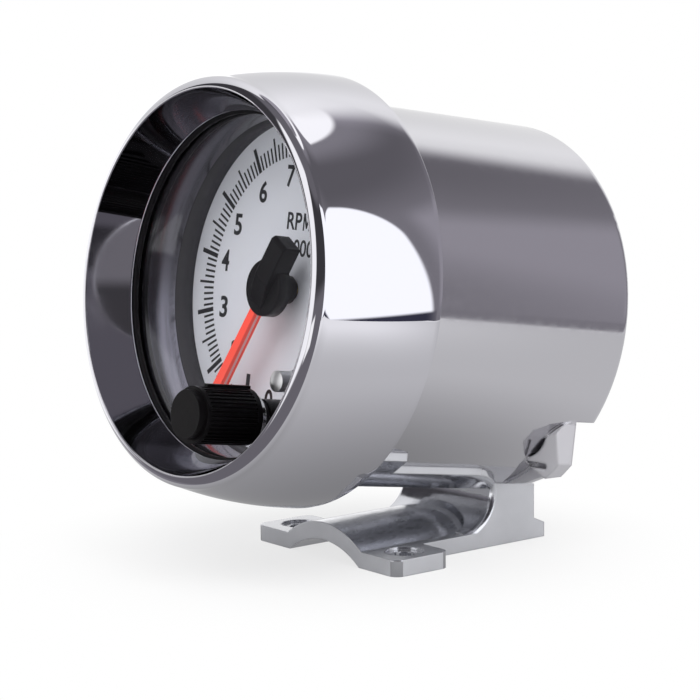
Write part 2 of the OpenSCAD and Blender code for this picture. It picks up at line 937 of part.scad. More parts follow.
module button() {
    dome_r = 6;
    dome_h = dome_r - sqrt(dome_r * dome_r - button_r * button_r);
    color("gainsboro") on_can()
        at_clock(control_r, button_angle) {
            rod(button_r, button_face + dome_h, flange_front + e);
            intersection() {
                translate([0, 0, button_face + dome_r])
                    sphere(r = dome_r);
                rod(button_r, button_face, button_face + dome_h + e);
            }
            rod(button_flange_r, flange_front, flange_back);
            rod(button_tip_r, flange_back - e, switch_front + 0.3);
        }
}

module button_guide() {
    color("#26272a") on_can()
        at_clock(control_r, button_angle)
            tube(guide_r, button_r + running_gap, lens_back, box_back);
}

// Points of a ring of the spring's wire, at turn t of its helix
function wire_ring(t, coil_r, wire_r, rise) = [
    for (k = [0 : 5])
        let(a = 360 * t, b = 60 * k, r = coil_r + wire_r * cos(b))
            [r * cos(a), r * sin(a), wire_r + rise * t + wire_r * sin(b)]
];

module button_spring() {
    seat_gap = 0.05;
    steps = 12;
    rings = floor(spring_turns * steps);
    wire_r = spring_wire / 2;
    coil_r = button_tip_r + spring_wire / 2 + 0.3;
    rise = (spring_length - 2 * seat_gap - spring_wire) / spring_turns;
    points = [for (i = [0 : rings]) each wire_ring(i / steps, coil_r, wire_r, rise)];
    sides = [
        for (i = [0 : rings - 1], k = [0 : 5])
            let(a = 6 * i + k, b = 6 * i + (k + 1) % 6)
                each [[a, b, b + 6], [a, b + 6, a + 6]]
    ];
    ends = [
        for (k = [1 : 4])
            each [[0, k + 1, k], [6 * rings, 6 * rings + k, 6 * rings + k + 1]]
    ];
    color("#8a8d92") on_can()
        at_clock(control_r, button_angle, flange_back + seat_gap)
            polyhedron(points, concat(sides, ends));
}

module button_switch() {
    body_w = 8;
    color("#1d1e20") on_can()
        at_clock(control_r, button_angle)
            difference() {
                translate([0, 0, switch_front])
                    linear_extrude(board_front - switch_front)
                        rotate(-button_angle)
                            round_rect(body_w, body_w, 0.6);
                rod(button_tip_r + 0.2, switch_front - 1, switch_front + button_travel + 0.8);
            }
}

module circuit_board() {
    color("#2f6b3c") on_can()
        difference() {
            translate([0, 0, board_front])
                linear_extrude(board_t)
                    keyed_disc(board_r);
            rod(cup_r + 0.5, board_front - 1, board_back + 1);
            for (a = pillar_angles)
                at_clock(pillar_ring, a)
                    rod(board_screw_r + slip, board_front - 1, board_back + 1);
            for (a = case_angles)
                at_clock(pillar_ring, a)
                    rod(case_screw_r + slip, board_front - 1, board_back + 1);
        }
}

module board_pillars() {
    color("#d8d8d2") on_can()
        for (a = pillar_angles)
            at_clock(pillar_ring, a)
                difference() {
                    rod(pillar_r, box_back, board_front);
                    rod(board_screw_r + screw_bite, box_back + 1.4, board_front + 1);
                }
}

module board_screws() {
    color("#a9adb3") on_can()
        for (a = pillar_angles)
            at_clock(pillar_ring, a) {
                rod(board_screw_r, board_front - 4, board_back + e);
                rod(board_screw_r * 2, board_back, board_back + 1.2);
            }
}

module lamps() {
    leg_r = 0.3;
    color("#f4f1e2") on_can()
        for (a = lamp_angles)
            at_clock(lamp_ring, a) {
                rod(lamp_r, box_floor - 2, box_back + 0.6);
                translate([0, 0, box_floor - 2])
                    sphere(r = lamp_r);
                for (side = [-1, 1])
                    translate([side * 1.27, 0, 0])
                        rod(leg_r, box_back + 0.5, board_front);
            }
}

module board_parts() {
    color("#202226") on_can() {
        // driver chip
        translate([-chip_width / 2, -socket_drop - chip_depth / 2, board_back])
            cube([chip_width, chip_depth, chip_t]);
        // smoothing capacitors
        at_clock(parts_ring, 155)
            rod(capacitor_r, board_back, board_back + capacitor_length);
        at_clock(parts_ring, 190)
            rod(0.75 * capacitor_r, board_back, board_back + 0.75 * capacitor_length);
        // power transistor
        at_clock(parts_ring, 25, board_back)
            rotate(-25)
                translate([-0.22 * chip_width, -chip_width / 2, 0])
                    cube([0.44 * chip_width, chip_width, 0.9 * chip_width]);
    }
}

module wire_socket() {
    color("#e6e2d4") on_can()
        translate([0, socket_drop, board_back])
            difference() {
                linear_extrude(socket_height)
                    square([socket_width, socket_depth], center = true);
                translate([0, 0, 2 * socket_wall])
                    linear_extrude(socket_height)
                        square([socket_width - 2 * socket_wall, socket_depth - 2 * socket_wall], center = true);
            }
}

module case_sleeves() {
    color("#b9bcc2") on_can()
        for (a = case_angles)
            at_clock(pillar_ring, a)
                tube(case_screw_r + 1.4, case_screw_r + slip, board_back, can_floor);
}

module case_screws() {
    head_t = 2;
    color("#a9adb3") on_can()
        for (a = case_angles)
            at_clock(pillar_ring, a)
                difference() {
                    union() {
                        rod(case_screw_r, box_back, can_end + e);
                        rod(case_head_r, can_end, can_end + head_t);
                    }
                    translate([-case_head_r, -0.4, can_end + head_t - 0.9])
                        cube([2 * case_head_r, 0.8, 2]);
                }
}

module cable_grommet() {
    lip_t = 1.6;
    color("#1a1a1b") on_can()
        translate([0, outlet_drop, 0])
            difference() {
                union() {
                    rod(grommet_r, step_face - can_wall - lip_t, step_face + lip_t);
                    rod(flange_r, step_face - can_wall - lip_t, step_face - can_wall);
                    rod(flange_r, step_face, step_face + lip_t);
                }
                rod(outlet_r, step_face - far, step_face + far);
            }
}

// Plan of the cradle plate, seen along the can's up direction: x across, y back from the mouth
module cradle_plan() {
    root_half_width = wall_half_width - 0.5;
    translate([-cradle_half_width, cradle_front])
        square([2 * cradle_half_width, cradle_waist - cradle_front]);
    translate([-ear_half_width, cradle_front])
        square([2 * ear_half_width, ear_end - cradle_front]);
    // root inside the rear wall
    translate([-root_half_width, cradle_waist - 1])
        square([2 * root_half_width, step_face - cradle_waist + 1]);
    // rounded rear corners
    for (side = [-1, 1])
        intersection() {
            translate([side * (cradle_half_width - cradle_round), cradle_waist])
                circle(r = cradle_round);
            translate([side > 0 ? 0 : -cradle_half_width, cradle_waist - 1])
                square([cradle_half_width, cradle_round + 1]);
        }
}

module cradle_plate() {
    on_can()
        difference() {
            intersection() {
                rotate([-90, 0, 0])
                    mirror([0, 1, 0])
                        linear_extrude(cradle_drop)
                            cradle_plan();
                rod(can_r + cradle_side_t, cradle_front - 1, can_end);
            }
            can_outside(0, far);
        }
}

// Side profile of the rear wall, the flanges and the toe: x is the way back, y is up
module wall_profile() {
    square([wall_back, foot_t]);
    polygon([[slot_back, 0], [toe_back, 0], [toe_back, toe_h], [wall_back, toe_h + toe_rise],
        [slot_back, foot_t]]);
    translate([slot_back, 0])
        square([wall_back - slot_back, mouth_height / 2]);
}

// Rounded rear end of the slot with its flared lips
module slot_end() {
    intersection() {
        translate([0, slot_back, slot_height])
            rotate([90, 0, 90]) {
                translate([0, 0, -far / 2])
                    cylinder(r = slot_r, h = far);
                for (side = [-1, 1])
                    rotate_extrude()
                        difference() {
                            translate([0, side > 0 ? wall_half_width - slot_lip : -wall_half_width - 1])
                                square([slot_r + slot_lip, slot_lip + 1]);
                            translate([slot_r + slot_lip, side * (wall_half_width - slot_lip)])
                                circle(r = slot_lip);
                        }
            }
        // the lips fade out on the flanges
        translate([-far / 2, 0, foot_t])
            cube([far, far, far]);
    }
}

module bracket() {
    hole_x = hole_spacing / 2;
    arch_length = slot_back + slot_r - 1 + foot_depth / 2;
    color("#b4b6bb") difference() {
        union() {
            // feet
            linear_extrude(foot_t)
                round_rect(2 * foot_half_width, foot_depth, foot_round);
            // rear wall, flanges and toe
            difference() {
                translate([-wall_half_width, 0, 0])
                    rotate([90, 0, 90])
                        linear_extrude(2 * wall_half_width)
                            wall_profile();
                slot_end();
                // slot in front of its rounded end, up to the cradle
                translate([-far / 2, -e, slot_height])
                    cube([far, slot_back + slot_r + e, slot_r]);
            }
            // arched saddle
            intersection() {
                translate([0, -foot_depth / 2, arch_center])
                    rotate([-90, 0, 0])
                        cylinder(r = arch_outer_r, h = arch_length);
                translate([-wall_half_width, -far / 2, 0])
                    cube([2 * wall_half_width, far, far]);
            }
            cradle_plate();
        }
        // hollow for the steering column
        translate([0, -far / 2, saddle_center])
            rotate([-90, 0, 0])
                cylinder(r = column_r, h = far);
        // seat of the can
        on_can()
            can_outside(0, far);
        // foot holes with their counterbores
        for (side = [-1, 1])
            translate([side * hole_x, 0, -1]) {
                cylinder(r = hole_r, h = foot_t + 2);
                translate([0, 0, 1 + foot_t - counterbore_t])
                    cylinder(r = counterbore_r, h = foot_t);
            }
        // threaded holes for the cradle's screws
        on_can()
            for (s = cradle_screws)
                translate([0, cradle_drop + 1, s])
                    rotate([90, 0, 0])
                        cylinder(r = cradle_screw_r + screw_bite, h = 6);
    }
}

module bracket_screws() {
    color("#a9adb3") on_can()
        for (s = cradle_screws)
            translate([0, cradle_drop - slip, s])
                rotate([90, 0, 0]) {
                    cylinder(r = cradle_screw_r, h = cradle_drop - slip - floor_drop + e);
                    translate([0, 0, cradle_drop - slip - floor_drop])
                        cylinder(r = cradle_head_r, h = cradle_head_t);
                }
}

visor();
can();
lens_gasket();
lens();
spacer_ring();
dial();
light_box();
needle();
needle_hub();
needle_spindle();
rotor_magnet();
front_bearing();
rear_bearing();
bobbin_front();
bobbin_rear();
inner_coil();
outer_coil();
movement_cup();
knob();
knob_shaft();
control_nut();
control_bushing();
potentiometer();
button();
button_guide();
button_spring();
button_switch();
circuit_board();
board_parts();
wire_socket();
board_pillars();
board_screws();
lamps();
case_sleeves();
case_screws();
cable_grommet();
bracket();
bracket_screws();
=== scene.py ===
# %% [markdown]
# # A rev counter in chrome and satin alloy
#
# This lesson dresses a car's rev counter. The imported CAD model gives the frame: every piece below is
# in metres, in that frame, so nothing has to be fitted. The cells follow the order in which a maker
# would think: the photographer's corner first, then the finishes, then the pieces that need a finer
# shape than the CAD solid has.

# %% Load the frame
import bpy
import bmesh
import json
import math
from mathutils import Matrix, Vector


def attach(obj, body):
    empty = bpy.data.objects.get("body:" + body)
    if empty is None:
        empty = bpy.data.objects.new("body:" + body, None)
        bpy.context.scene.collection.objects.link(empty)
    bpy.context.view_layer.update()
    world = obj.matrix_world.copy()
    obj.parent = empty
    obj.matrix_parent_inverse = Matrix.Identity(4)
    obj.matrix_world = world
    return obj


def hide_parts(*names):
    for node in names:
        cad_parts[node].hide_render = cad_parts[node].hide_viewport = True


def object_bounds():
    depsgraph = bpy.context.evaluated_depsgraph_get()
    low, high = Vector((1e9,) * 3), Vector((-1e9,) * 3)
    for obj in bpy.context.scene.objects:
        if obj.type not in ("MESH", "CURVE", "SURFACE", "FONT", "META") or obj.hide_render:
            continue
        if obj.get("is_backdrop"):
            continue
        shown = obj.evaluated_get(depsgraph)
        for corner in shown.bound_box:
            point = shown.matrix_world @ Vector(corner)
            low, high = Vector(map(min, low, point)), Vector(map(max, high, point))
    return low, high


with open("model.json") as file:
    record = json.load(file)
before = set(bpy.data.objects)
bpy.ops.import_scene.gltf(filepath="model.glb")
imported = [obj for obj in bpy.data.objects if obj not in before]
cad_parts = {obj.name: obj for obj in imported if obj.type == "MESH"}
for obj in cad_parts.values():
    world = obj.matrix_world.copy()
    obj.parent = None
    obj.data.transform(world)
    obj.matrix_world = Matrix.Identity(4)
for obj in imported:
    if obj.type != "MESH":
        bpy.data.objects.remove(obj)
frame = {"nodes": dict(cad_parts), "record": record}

cad_low, cad_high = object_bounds()
nodes = frame["nodes"]

# %% [markdown]
# The instrument leans back a little, so most of its pieces are turned about one sloping axis. A small
# local frame on that axis keeps the sums short: right and up as the driver reads the dial, and depth
# counted from the mouth of the visor. Sizes are written in millimetres, as on a drawing.

# %% The instrument's own axis
MM = 0.001
TILT = math.radians(8.5)
MOUTH = Vector((0, -42, 65)) * MM
RIGHT = Vector((1, 0, 0))
UP = Vector((0, math.sin(TILT), math.cos(TILT)))
BACK = Vector((0, math.cos(TILT), -math.sin(TILT)))


def on_dial(right, up, depth):
    """A point in the frame, from millimetres right, up and deep behind the visor's mouth."""
    return MOUTH + (RIGHT * right + UP * up + BACK * depth) * MM


def on_clock(radius, degrees, depth):
    """The same from a radius and an angle, counted anticlockwise from three o'clock."""
    angle = math.radians(degrees)
    return on_dial(radius * math.cos(angle), radius * math.sin(angle), depth)


print("mouth of the visor at", tuple(round(x, 4) for x in MOUTH))

# %% [markdown]
# The photograph was taken with a long lens from the driver's right, a little above the axis, so the
# instrument shows its face and its flank with little perspective. The camera is set from its azimuth,
# elevation and a slight roll, and the lens from the picture's field of view.

# %% Camera
CAMERA_AT = Vector((413.9, -324.7, 121.8)) * MM
AZIMUTH, ELEVATION, ROLL = (math.radians(a) for a in (51.84, 8.17, -0.74))
SENSOR_MM, LENS_MM, NEAREST = 36.0, 122.59, 0.01

level_part = math.cos(ELEVATION)
ahead = Vector((-math.sin(AZIMUTH) * level_part, math.cos(AZIMUTH) * level_part, -math.sin(ELEVATION)))
sideways = Vector((math.cos(AZIMUTH), math.sin(AZIMUTH), 0))
upward = sideways.cross(ahead)
cam_right = sideways * math.cos(ROLL) + upward * math.sin(ROLL)
cam_up = upward * math.cos(ROLL) - sideways * math.sin(ROLL)

camera_data = bpy.data.cameras.new("camera")
camera_data.sensor_width = SENSOR_MM
camera_data.lens = LENS_MM
camera_data.clip_start = NEAREST
camera = bpy.data.objects.new("camera", camera_data)
bpy.context.scene.collection.objects.link(camera)
turn = Matrix((cam_right, cam_up, -ahead)).transposed().to_4x4()
camera.matrix_world = Matrix.Translation(CAMERA_AT) @ turn
bpy.context.scene.camera = camera
print("camera", round((CAMERA_AT - MOUTH).length, 3), "m from the mouth, lens", LENS_MM, "mm")

# %% [markdown]
# Four helpers carry the whole lesson. One turns a web colour into the linear values that the shaders
# expect. One adds a node, with its settings and its links, so a material reads as a list of steps. One
# draws a soft edge. The last gives a noise pattern whose grains have a size in millimetres, because a
# finish only looks right at its real scale.

# %% Helpers for colours and nodes
def linear(hex_colour):
    """sRGB hex to linear red, green, blue and alpha."""
    parts = [int(hex_colour[i:i + 2], 16) / 255 for i in (1, 3, 5)]
    return tuple(c / 12.92 if c <= 0.04045 else ((c + 0.055) / 1.055) ** 2.4 for c in parts) + (1.0,)


def add(tree, kind, sockets=None, **settings):
    """Adds one node. sockets maps an input's name or number to a value, a socket or another node,
    which stands for its first output."""
    node = tree.nodes.new("ShaderNode" + kind)
    for key, value in settings.items():
        setattr(node, key, value)
    for key, value in (sockets or {}).items():
        if isinstance(value, bpy.types.Node):
            value = value.outputs[0]
        if isinstance(value, bpy.types.NodeSocket):
            tree.links.new(value, node.inputs[key])
        else:
            node.inputs[key].default_value = value
    return node


def soft_step(tree, value, start, end, low=0.0, high=1.0):
    """Goes softly from low to high while value goes from start to end."""
    sockets = {"Value": value, "From Min": start, "From Max": end, "To Min": low, "To Max": high}
    return add(tree, "MapRange", sockets, interpolation_type="SMOOTHSTEP").outputs[0]


def grain(tree, size_mm, detail=2.0, stretch=(1, 1, 1)):
    """Noise from 0 to 1 with grains of size_mm, fixed to the piece."""
    place = add(tree, "TexCoord").outputs["Object"]
    place = add(tree, "Mapping", {"Vector": place, "Scale": stretch}).outputs[0]
    sockets = {"Vector": place, "Scale": 1 / (size_mm * MM), "Detail": detail}
    return add(tree, "TexNoise", sockets).outputs["Fac"]


print("white in linear light:", linear("#ffffff"))

# %% [markdown]
# Chrome has no colour of its own: it is a picture of the room. So the room comes first. This studio is
# dark, with a tall soft lamp to the right of the camera's view, a strip of light overhead, a white
# cloth that hangs behind, and a lamp and a small card in front. The world shader draws these by
# direction: places are degrees of azimuth and elevation, and levels are parts of white. Matt pieces are
# lit by an even light, and the camera sees plain white. A Mix node that blends colours has them in its
# inputs 6 and 7, and its result in output 2.

# %% Drawing on the sky
scene = bpy.context.scene
scene.view_settings.view_transform = "Standard"
world = bpy.data.worlds.new("studio")
scene.world = world
world.use_nodes = True
sky = world.node_tree
sky.nodes.clear()

way = add(sky, "SeparateXYZ", {0: add(sky, "TexCoord").outputs["Generated"]}).outputs
turned = add(sky, "Math", {0: way["Y"], 1: way["X"]}, operation="ARCTAN2")
azimuth = add(sky, "Math", {0: turned}, operation="DEGREES")
risen = add(sky, "Math", {0: way["Z"]}, operation="ARCSINE")
elevation = add(sky, "Math", {0: risen}, operation="DEGREES")
# the cloth and the areas in front lie beyond 180 degrees, so they use an azimuth from 0 to 360
around = add(sky, "Math", {0: azimuth, 1: 360.0}, operation="FLOORED_MODULO")


def both(mask, other):
    """1 where two masks overlap."""
    return add(sky, "Math", {0: mask, 1: other}, operation="MULTIPLY")


def between(value, low, high, edge):
    """1 between low and high, with soft edges of that many degrees."""
    rise = soft_step(sky, value, low - edge, low + edge)
    fall = soft_step(sky, value, high + edge, high - edge)
    return both(rise, fall)


def above(at_zero, slope):
    """Degrees above an edge whose elevation changes with azimuth."""
    edge = add(sky, "Math", {0: azimuth, 1: slope, 2: at_zero}, operation="MULTIPLY_ADD")
    return add(sky, "Math", {0: elevation, 1: edge}, operation="SUBTRACT")


def over(lower, mask, colour):
    """Lays an area of one colour over what is drawn already."""
    return add(sky, "Mix", {0: mask, 6: lower, 7: colour}, data_type="RGBA").outputs[2]


print("directions of the sky:", len(sky.nodes), "nodes")

# %% [markdown]
# The room is never quite black. It is a little lighter near the horizon, beside the lamp and close to
# the white areas. Towards the driver it is darker above eye level than below.

# %% The dark room
ROOM_TINT = (1.01, 0.965, 1.07)
STRIP_FOOT, STRIP_HEIGHT = (82.0, -0.25), 12.0
BESIDE_LAMP = 0.14

above_strip = above(*STRIP_FOOT)
level = soft_step(sky, elevation, 28.0, 48.0, 0.27, 0.155)
near_strip = soft_step(sky, above_strip, -14.0, -2.0, 0.0, 0.15)
near_cloth = soft_step(sky, azimuth, 92.0, 112.0, 0.0, 0.16)
for more in (near_strip, near_cloth):
    level = add(sky, "Math", {0: level, 1: more}, operation="ADD")
beside = both(between(azimuth, 45.0, 70.0, 5.0), between(elevation, -7.0, 31.0, 4.0))
level = add(sky, "Math", {0: beside, 1: BESIDE_LAMP, 2: level}, operation="MULTIPLY_ADD")

below_eye = soft_step(sky, elevation, 2.0, 12.0, 0.2, 0.06)
ceiling = soft_step(sky, elevation, 42.0, 52.0, 0.0, 0.13)
driver_level = add(sky, "Math", {0: below_eye, 1: ceiling}, operation="ADD")
# the driver's side runs on past 360 degrees, so its last degree is drawn from the start of the circle
main_part, last_degree = between(around, 205.0, 361.5, 2.0), soft_step(sky, around, 1.5, 1.0)
driver_side = add(sky, "Math", {0: main_part, 1: last_degree}, operation="MAXIMUM")
level = add(sky, "Mix", {0: driver_side, 2: level, 3: driver_level})
tinted = [add(sky, "Math", {0: level, 1: part}, operation="MULTIPLY") for part in ROOM_TINT]
room = add(sky, "CombineColor", dict(enumerate(tinted)))
print("dark room, tinted", ROOM_TINT)

# %% [markdown]
# The side lamp makes the white window on the visor. Its foot and its top slope a little, and its upper
# corner behind the instrument is well rounded. A thin dark gap lies between its foot and the far edge of
# the table. The strip overhead makes the light band along the top of the can.

# %% Side lamp and strip
LAMP_FROM, LAMP_TO, CORNER_R, CORNER_FROM = 2.0, 60.0, 13.5, 24.0
LAMP_FOOT, LAMP_TOP, SHARP = (-13.2, 0.15), (47.0, -0.28), 0.8
LAMP_WHITE, STRIP_WHITE, GAP_DARK = (1.55, 1.57, 1.62, 1), (1.5, 1.5, 1.5, 1), (0.05, 0.05, 0.08, 1)

above_foot = above(*LAMP_FOOT)
gap = both(between(azimuth, 12.0, 38.0, 3.0), soft_step(sky, above_foot, SHARP, -SHARP / 2))
room = over(room, gap, GAP_DARK)

corner_x = add(sky, "Math", {0: azimuth, 1: CORNER_FROM}, operation="SUBTRACT")
corner_y = add(sky, "Math", {0: above(*LAMP_TOP), 1: CORNER_R}, operation="ADD")
corner = add(sky, "CombineXYZ", {0: corner_x, 1: corner_y})
corner = add(sky, "VectorMath", {0: corner, 1: (0, 0, 0)}, operation="MAXIMUM")
from_corner = add(sky, "VectorMath", {0: corner}, operation="LENGTH").outputs["Value"]
side_lamp = both(between(azimuth, LAMP_FROM, LAMP_TO, SHARP), soft_step(sky, above_foot, -SHARP, SHARP))
side_lamp = both(side_lamp, soft_step(sky, from_corner, CORNER_R + SHARP, CORNER_R - SHARP))
room = over(room, side_lamp, LAMP_WHITE)

strip = both(between(azimuth, 30.0, 150.0, 8.0), between(above_strip, 0.0, STRIP_HEIGHT, SHARP))
room = over(room, strip, STRIP_WHITE)
print("side lamp from azimuth", LAMP_FROM, "to", LAMP_TO)

# %% [markdown]
# The cloth runs round the back. Its near edge hangs in folds, so it is soft and leans. It is brighter
# towards its top, and low down at the far left.

# %% Cloth
CLOTH_LEAN, CLOTH_BASE, CLOTH_NEAREST, CLOTH_FARTHEST = 1.2, 60.4, 98.0, 114.0

leaning = add(sky, "Math", {0: elevation, 1: CLOTH_LEAN, 2: CLOTH_BASE}, operation="MULTIPLY_ADD")
cloth_edge = add(sky, "Clamp", {"Value": leaning, "Min": CLOTH_NEAREST, "Max": CLOTH_FARTHEST})
from_edge = add(sky, "Math", {0: around, 1: cloth_edge}, operation="SUBTRACT")

from_top = soft_step(sky, elevation, 22.0, 68.0, 1.05, 1.5)
far_left = soft_step(sky, around, 138.0, 146.0, 0.0, 0.6)
low_down = soft_step(sky, elevation, 8.0, 14.0, 1.0, 0.0)
cloth_level = add(sky, "Math", {0: from_top, 1: both(far_left, low_down)}, operation="ADD")
turned_away = soft_step(sky, around, 116.0, 140.0, 1.0, 0.84)
in_folds = soft_step(sky, from_edge, 0.0, 18.0, 0.9, 1.0)
for shade in (turned_away, in_folds):
    cloth_level = add(sky, "Math", {0: cloth_level, 1: shade}, operation="MULTIPLY")
cloth_white = add(sky, "CombineColor", {0: cloth_level, 1: cloth_level, 2: cloth_level})
cloth = both(soft_step(sky, from_edge, -14.0, 5.0), soft_step(sky, around, 206.2, 203.8))
cloth = both(cloth, between(elevation, -14.0, 62.0, 1.5))
room = over(room, cloth, cloth_white)
print("cloth from azimuth", CLOTH_NEAREST, "leaning to", CLOTH_FARTHEST)

# %% [markdown]
# In front there are two flat white areas: a lamp at the left, and a small low card at the right that
# only the ring behind the glass shows. Then the sky is put together: chrome sees the room, matt pieces
# see the even light, and the camera sees white, also through the glass.

# %% Front areas, and the sky
EVEN_LIGHT = 0.78
# azimuth, elevation, softness of the edge, light
FRONT_AREAS = (
    ((236.0, 280.0), (-10.0, 50.0), 3.0, (1.4, 1.4, 1.4, 1)),
    ((282.0, 306.0), (-14.0, -1.0), 1.0, (1.4, 1.4, 1.38, 1)),
)
for across, up, edge, light in FRONT_AREAS:
    room = over(room, both(between(around, *across, edge), between(elevation, *up, edge)), light)

rays = add(sky, "LightPath").outputs
even = add(sky, "Background", {"Color": (1, 1, 1, 1), "Strength": EVEN_LIGHT})
white = add(sky, "Background", {"Color": (1, 1, 1, 1), "Strength": 1.0})
mirrored = add(sky, "Background", {"Color": room, "Strength": 1.0})
unseen = add(sky, "MixShader", {0: rays["Is Glossy Ray"], 1: even, 2: mirrored})
seen = add(sky, "Math", {0: rays["Is Camera Ray"], 1: rays["Is Transmission Ray"]}, operation="MAXIMUM")
add(sky, "OutputWorld", {"Surface": add(sky, "MixShader", {0: seen, 1: unseen, 2: white})})
print("studio world:", len(sky.nodes), "nodes")

# %% [markdown]
# The instrument stands on a pale table. To the eye it melts into the white background but keeps the
# soft shadow under the bracket: near the foot the camera sees a matt white, which turns into plain white
# light further out.

# %% The table
TABLE_HALF = 3.0
MELT_FROM, MELT_TO, MELT_START = 0.04, 0.085, 0.72
bpy.ops.mesh.primitive_grid_add(
    x_subdivisions=8, y_subdivisions=8, size=2 * TABLE_HALF, location=(0, 0, 0))
floor = bpy.context.object
floor.name = "floor"
floor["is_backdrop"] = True

table = bpy.data.materials.new("white laminate table")
table.use_nodes = True
floor.data.materials.append(table)
tree = table.node_tree
tree.nodes.clear()
spot = add(tree, "TexCoord").outputs["Object"]
place = add(tree, "SeparateXYZ", {0: spot}).outputs
distance = add(tree, "VectorMath", {0: spot}, operation="LENGTH").outputs["Value"]
matt = add(tree, "BsdfDiffuse", {"Color": (0.82, 0.82, 0.82, 1)})
glow = add(tree, "Emission", {"Color": (1, 1, 1, 1), "Strength": 1.0})
melting = soft_step(tree, distance, MELT_FROM, MELT_TO, MELT_START, 1.0)
to_camera = add(tree, "MixShader", {0: melting, 1: matt, 2: glow})
print("table", 2 * TABLE_HALF, "m wide, melts from", MELT_FROM, "to", MELT_TO, "m")

# %% [markdown]
# In the chrome the table is a light grey plane, and its light and shade are painted into its glow: a
# painted shadow makes it dark right under the object, and painted light makes its far part brightest
# straight to the right, under the lamp, and again at the back left.

# %% Grey of the table in the chrome
turned = add(tree, "Math", {0: place["Y"], 1: place["X"]}, operation="ARCTAN2")
towards = add(tree, "Math", {0: turned}, operation="DEGREES")
# painted light: the far part of the table glows brighter under the lamp and at the back left
under_lamp = soft_step(tree, towards, 5.0, 45.0, 1.0, 0.0)
back_left = soft_step(tree, towards, 100.0, 140.0, 0.0, 0.7)
lit = add(tree, "Math", {0: under_lamp, 1: back_left}, operation="ADD")
# painted shadow: the glow is darker right under the object
painted_shadow_level = soft_step(tree, distance, 0.01, 0.1, 0.31, 0.72)
far_level = soft_step(tree, distance, 0.1, 0.27, 0.0, 0.5)
level = add(tree, "Math", {0: far_level, 1: lit, 2: painted_shadow_level}, operation="MULTIPLY_ADD")
print("grey of the table:", len(tree.nodes), "shader nodes")

# %% [markdown]
# The far edge of this plane is the crisp horizon across the visor and the can. It lies about 0.3 metres
# to the right of the object and slants. The far corner is cut off, and the cut edge catches the lamp as
# a thin bright line. On the driver's side the plane ends just in front of the visor. Past an edge the
# rays go on to the room.

# %% Edges of the table in the chrome
FAR_EDGE, FAR_LEAN, TABLE_FRONT = 0.326, 0.27, -0.056
CORNER_CUT, CORNER_LEAN = 0.47, 1.2
RIM_FROM, RIM_TO, RIM_LIGHT = 0.018, 0.008, 0.3
# x plus a lean times y has one value all along an edge that slants
to_far = add(tree, "Math", {0: place["Y"], 1: FAR_LEAN, 2: place["X"]}, operation="MULTIPLY_ADD")
to_corner = add(tree, "Math", {0: place["Y"], 1: CORNER_LEAN, 2: place["X"]}, operation="MULTIPLY_ADD")
# painted highlight: a thin bright line in the glow along the cut edge, where it catches the lamp
rim = soft_step(tree, to_corner, CORNER_CUT - RIM_FROM, CORNER_CUT - RIM_TO, 0.0, RIM_LIGHT)
level = add(tree, "Math", {0: level, 1: rim}, operation="ADD")
sheen = add(tree, "Emission", {"Color": (1.0, 1.0, 1.01, 1), "Strength": level})
off_table = add(tree, "Math", {0: place["Y"], 1: TABLE_FRONT}, operation="LESS_THAN")
for edge, end in ((to_far, FAR_EDGE), (to_corner, CORNER_CUT)):
    past = add(tree, "Math", {0: edge, 1: end}, operation="GREATER_THAN")
    off_table = add(tree, "Math", {0: off_table, 1: past}, operation="MAXIMUM")
to_chrome = add(tree, "MixShader", {0: off_table, 1: sheen, 2: add(tree, "BsdfTransparent")})

rays = add(tree, "LightPath").outputs
unseen = add(tree, "MixShader", {0: rays["Is Glossy Ray"], 1: matt, 2: to_chrome})
seen = add(tree, "Math", {0: rays["Is Camera Ray"], 1: rays["Is Transmission Ray"]}, operation="MAXIMUM")
add(tree, "OutputMaterial", {"Surface": add(tree, "MixShader", {0: seen, 1: unseen, 2: to_camera})})
print("far edge at", FAR_EDGE, "m,", len(tree.nodes), "shader nodes in all")

# %% [markdown]
# Two real lamps shade the matt pieces and the table. The second one, from the side, reaches under the
# instrument, down to the feet of the bracket. The chrome doesn't show them: it has the drawn ones.

# %% Two soft lamps
# name, width, height, watts, where it hangs, height of the point that it looks at
LAMPS = (
    ("soft key", 0.9, 0.7, 6.0, (0.25, -0.75, 1.0), 0.06),
    ("side lamp", 0.5, 0.5, 4.5, (0.75, -0.1, 0.9), 0.03),
)
for name, width, height, watts, hung_at, aim in LAMPS:
    lamp_data = bpy.data.lights.new(name, "AREA")
    lamp_data.shape = "RECTANGLE"
    lamp_data.size, lamp_data.size_y, lamp_data.energy = width, height, watts
    lamp = bpy.data.objects.new(name, lamp_data)
    scene.collection.objects.link(lamp)
    lamp.location = hung_at
    lamp.rotation_euler = (Vector((0, 0, aim)) - lamp.location).to_track_quat("-Z", "Y").to_euler()
    lamp.visible_glossy = False
    print(name, watts, "W")

# %% [markdown]
# Each finish is a Principled shader with noise of a real size behind its roughness, colour and bump.
# The first function below starts one: a value that is the same all over goes straight on the shader.
# The other three lay a pattern over the colour, the gloss and the surface.

# %% Start of a finish
def finish(name, colour, metallic=0.0, roughness=0.5, **given):
    """A new material with a Principled shader. Returns the material, its tree and the shader."""
    material = bpy.data.materials.new(name)
    material.use_nodes = True
    tree = material.node_tree
    tree.nodes.clear()
    sockets = {"Base Color": linear(colour), "Metallic": metallic, "Roughness": roughness}
    shader = add(tree, "BsdfPrincipled", sockets)
    for key, value in given.items():
        shader.inputs[key.replace("_", " ")].default_value = value
    add(tree, "OutputMaterial", {"Surface": shader})
    print("finish:", name)
    return material, tree, shader


def tone(tree, shader, pattern, dark, light):
    """Varies the colour between two hex values by the pattern."""
    sockets = {0: pattern, 6: linear(dark), 7: linear(light)}
    blended = add(tree, "Mix", sockets, data_type="RGBA")
    tree.links.new(blended.outputs[2], shader.inputs["Base Color"])


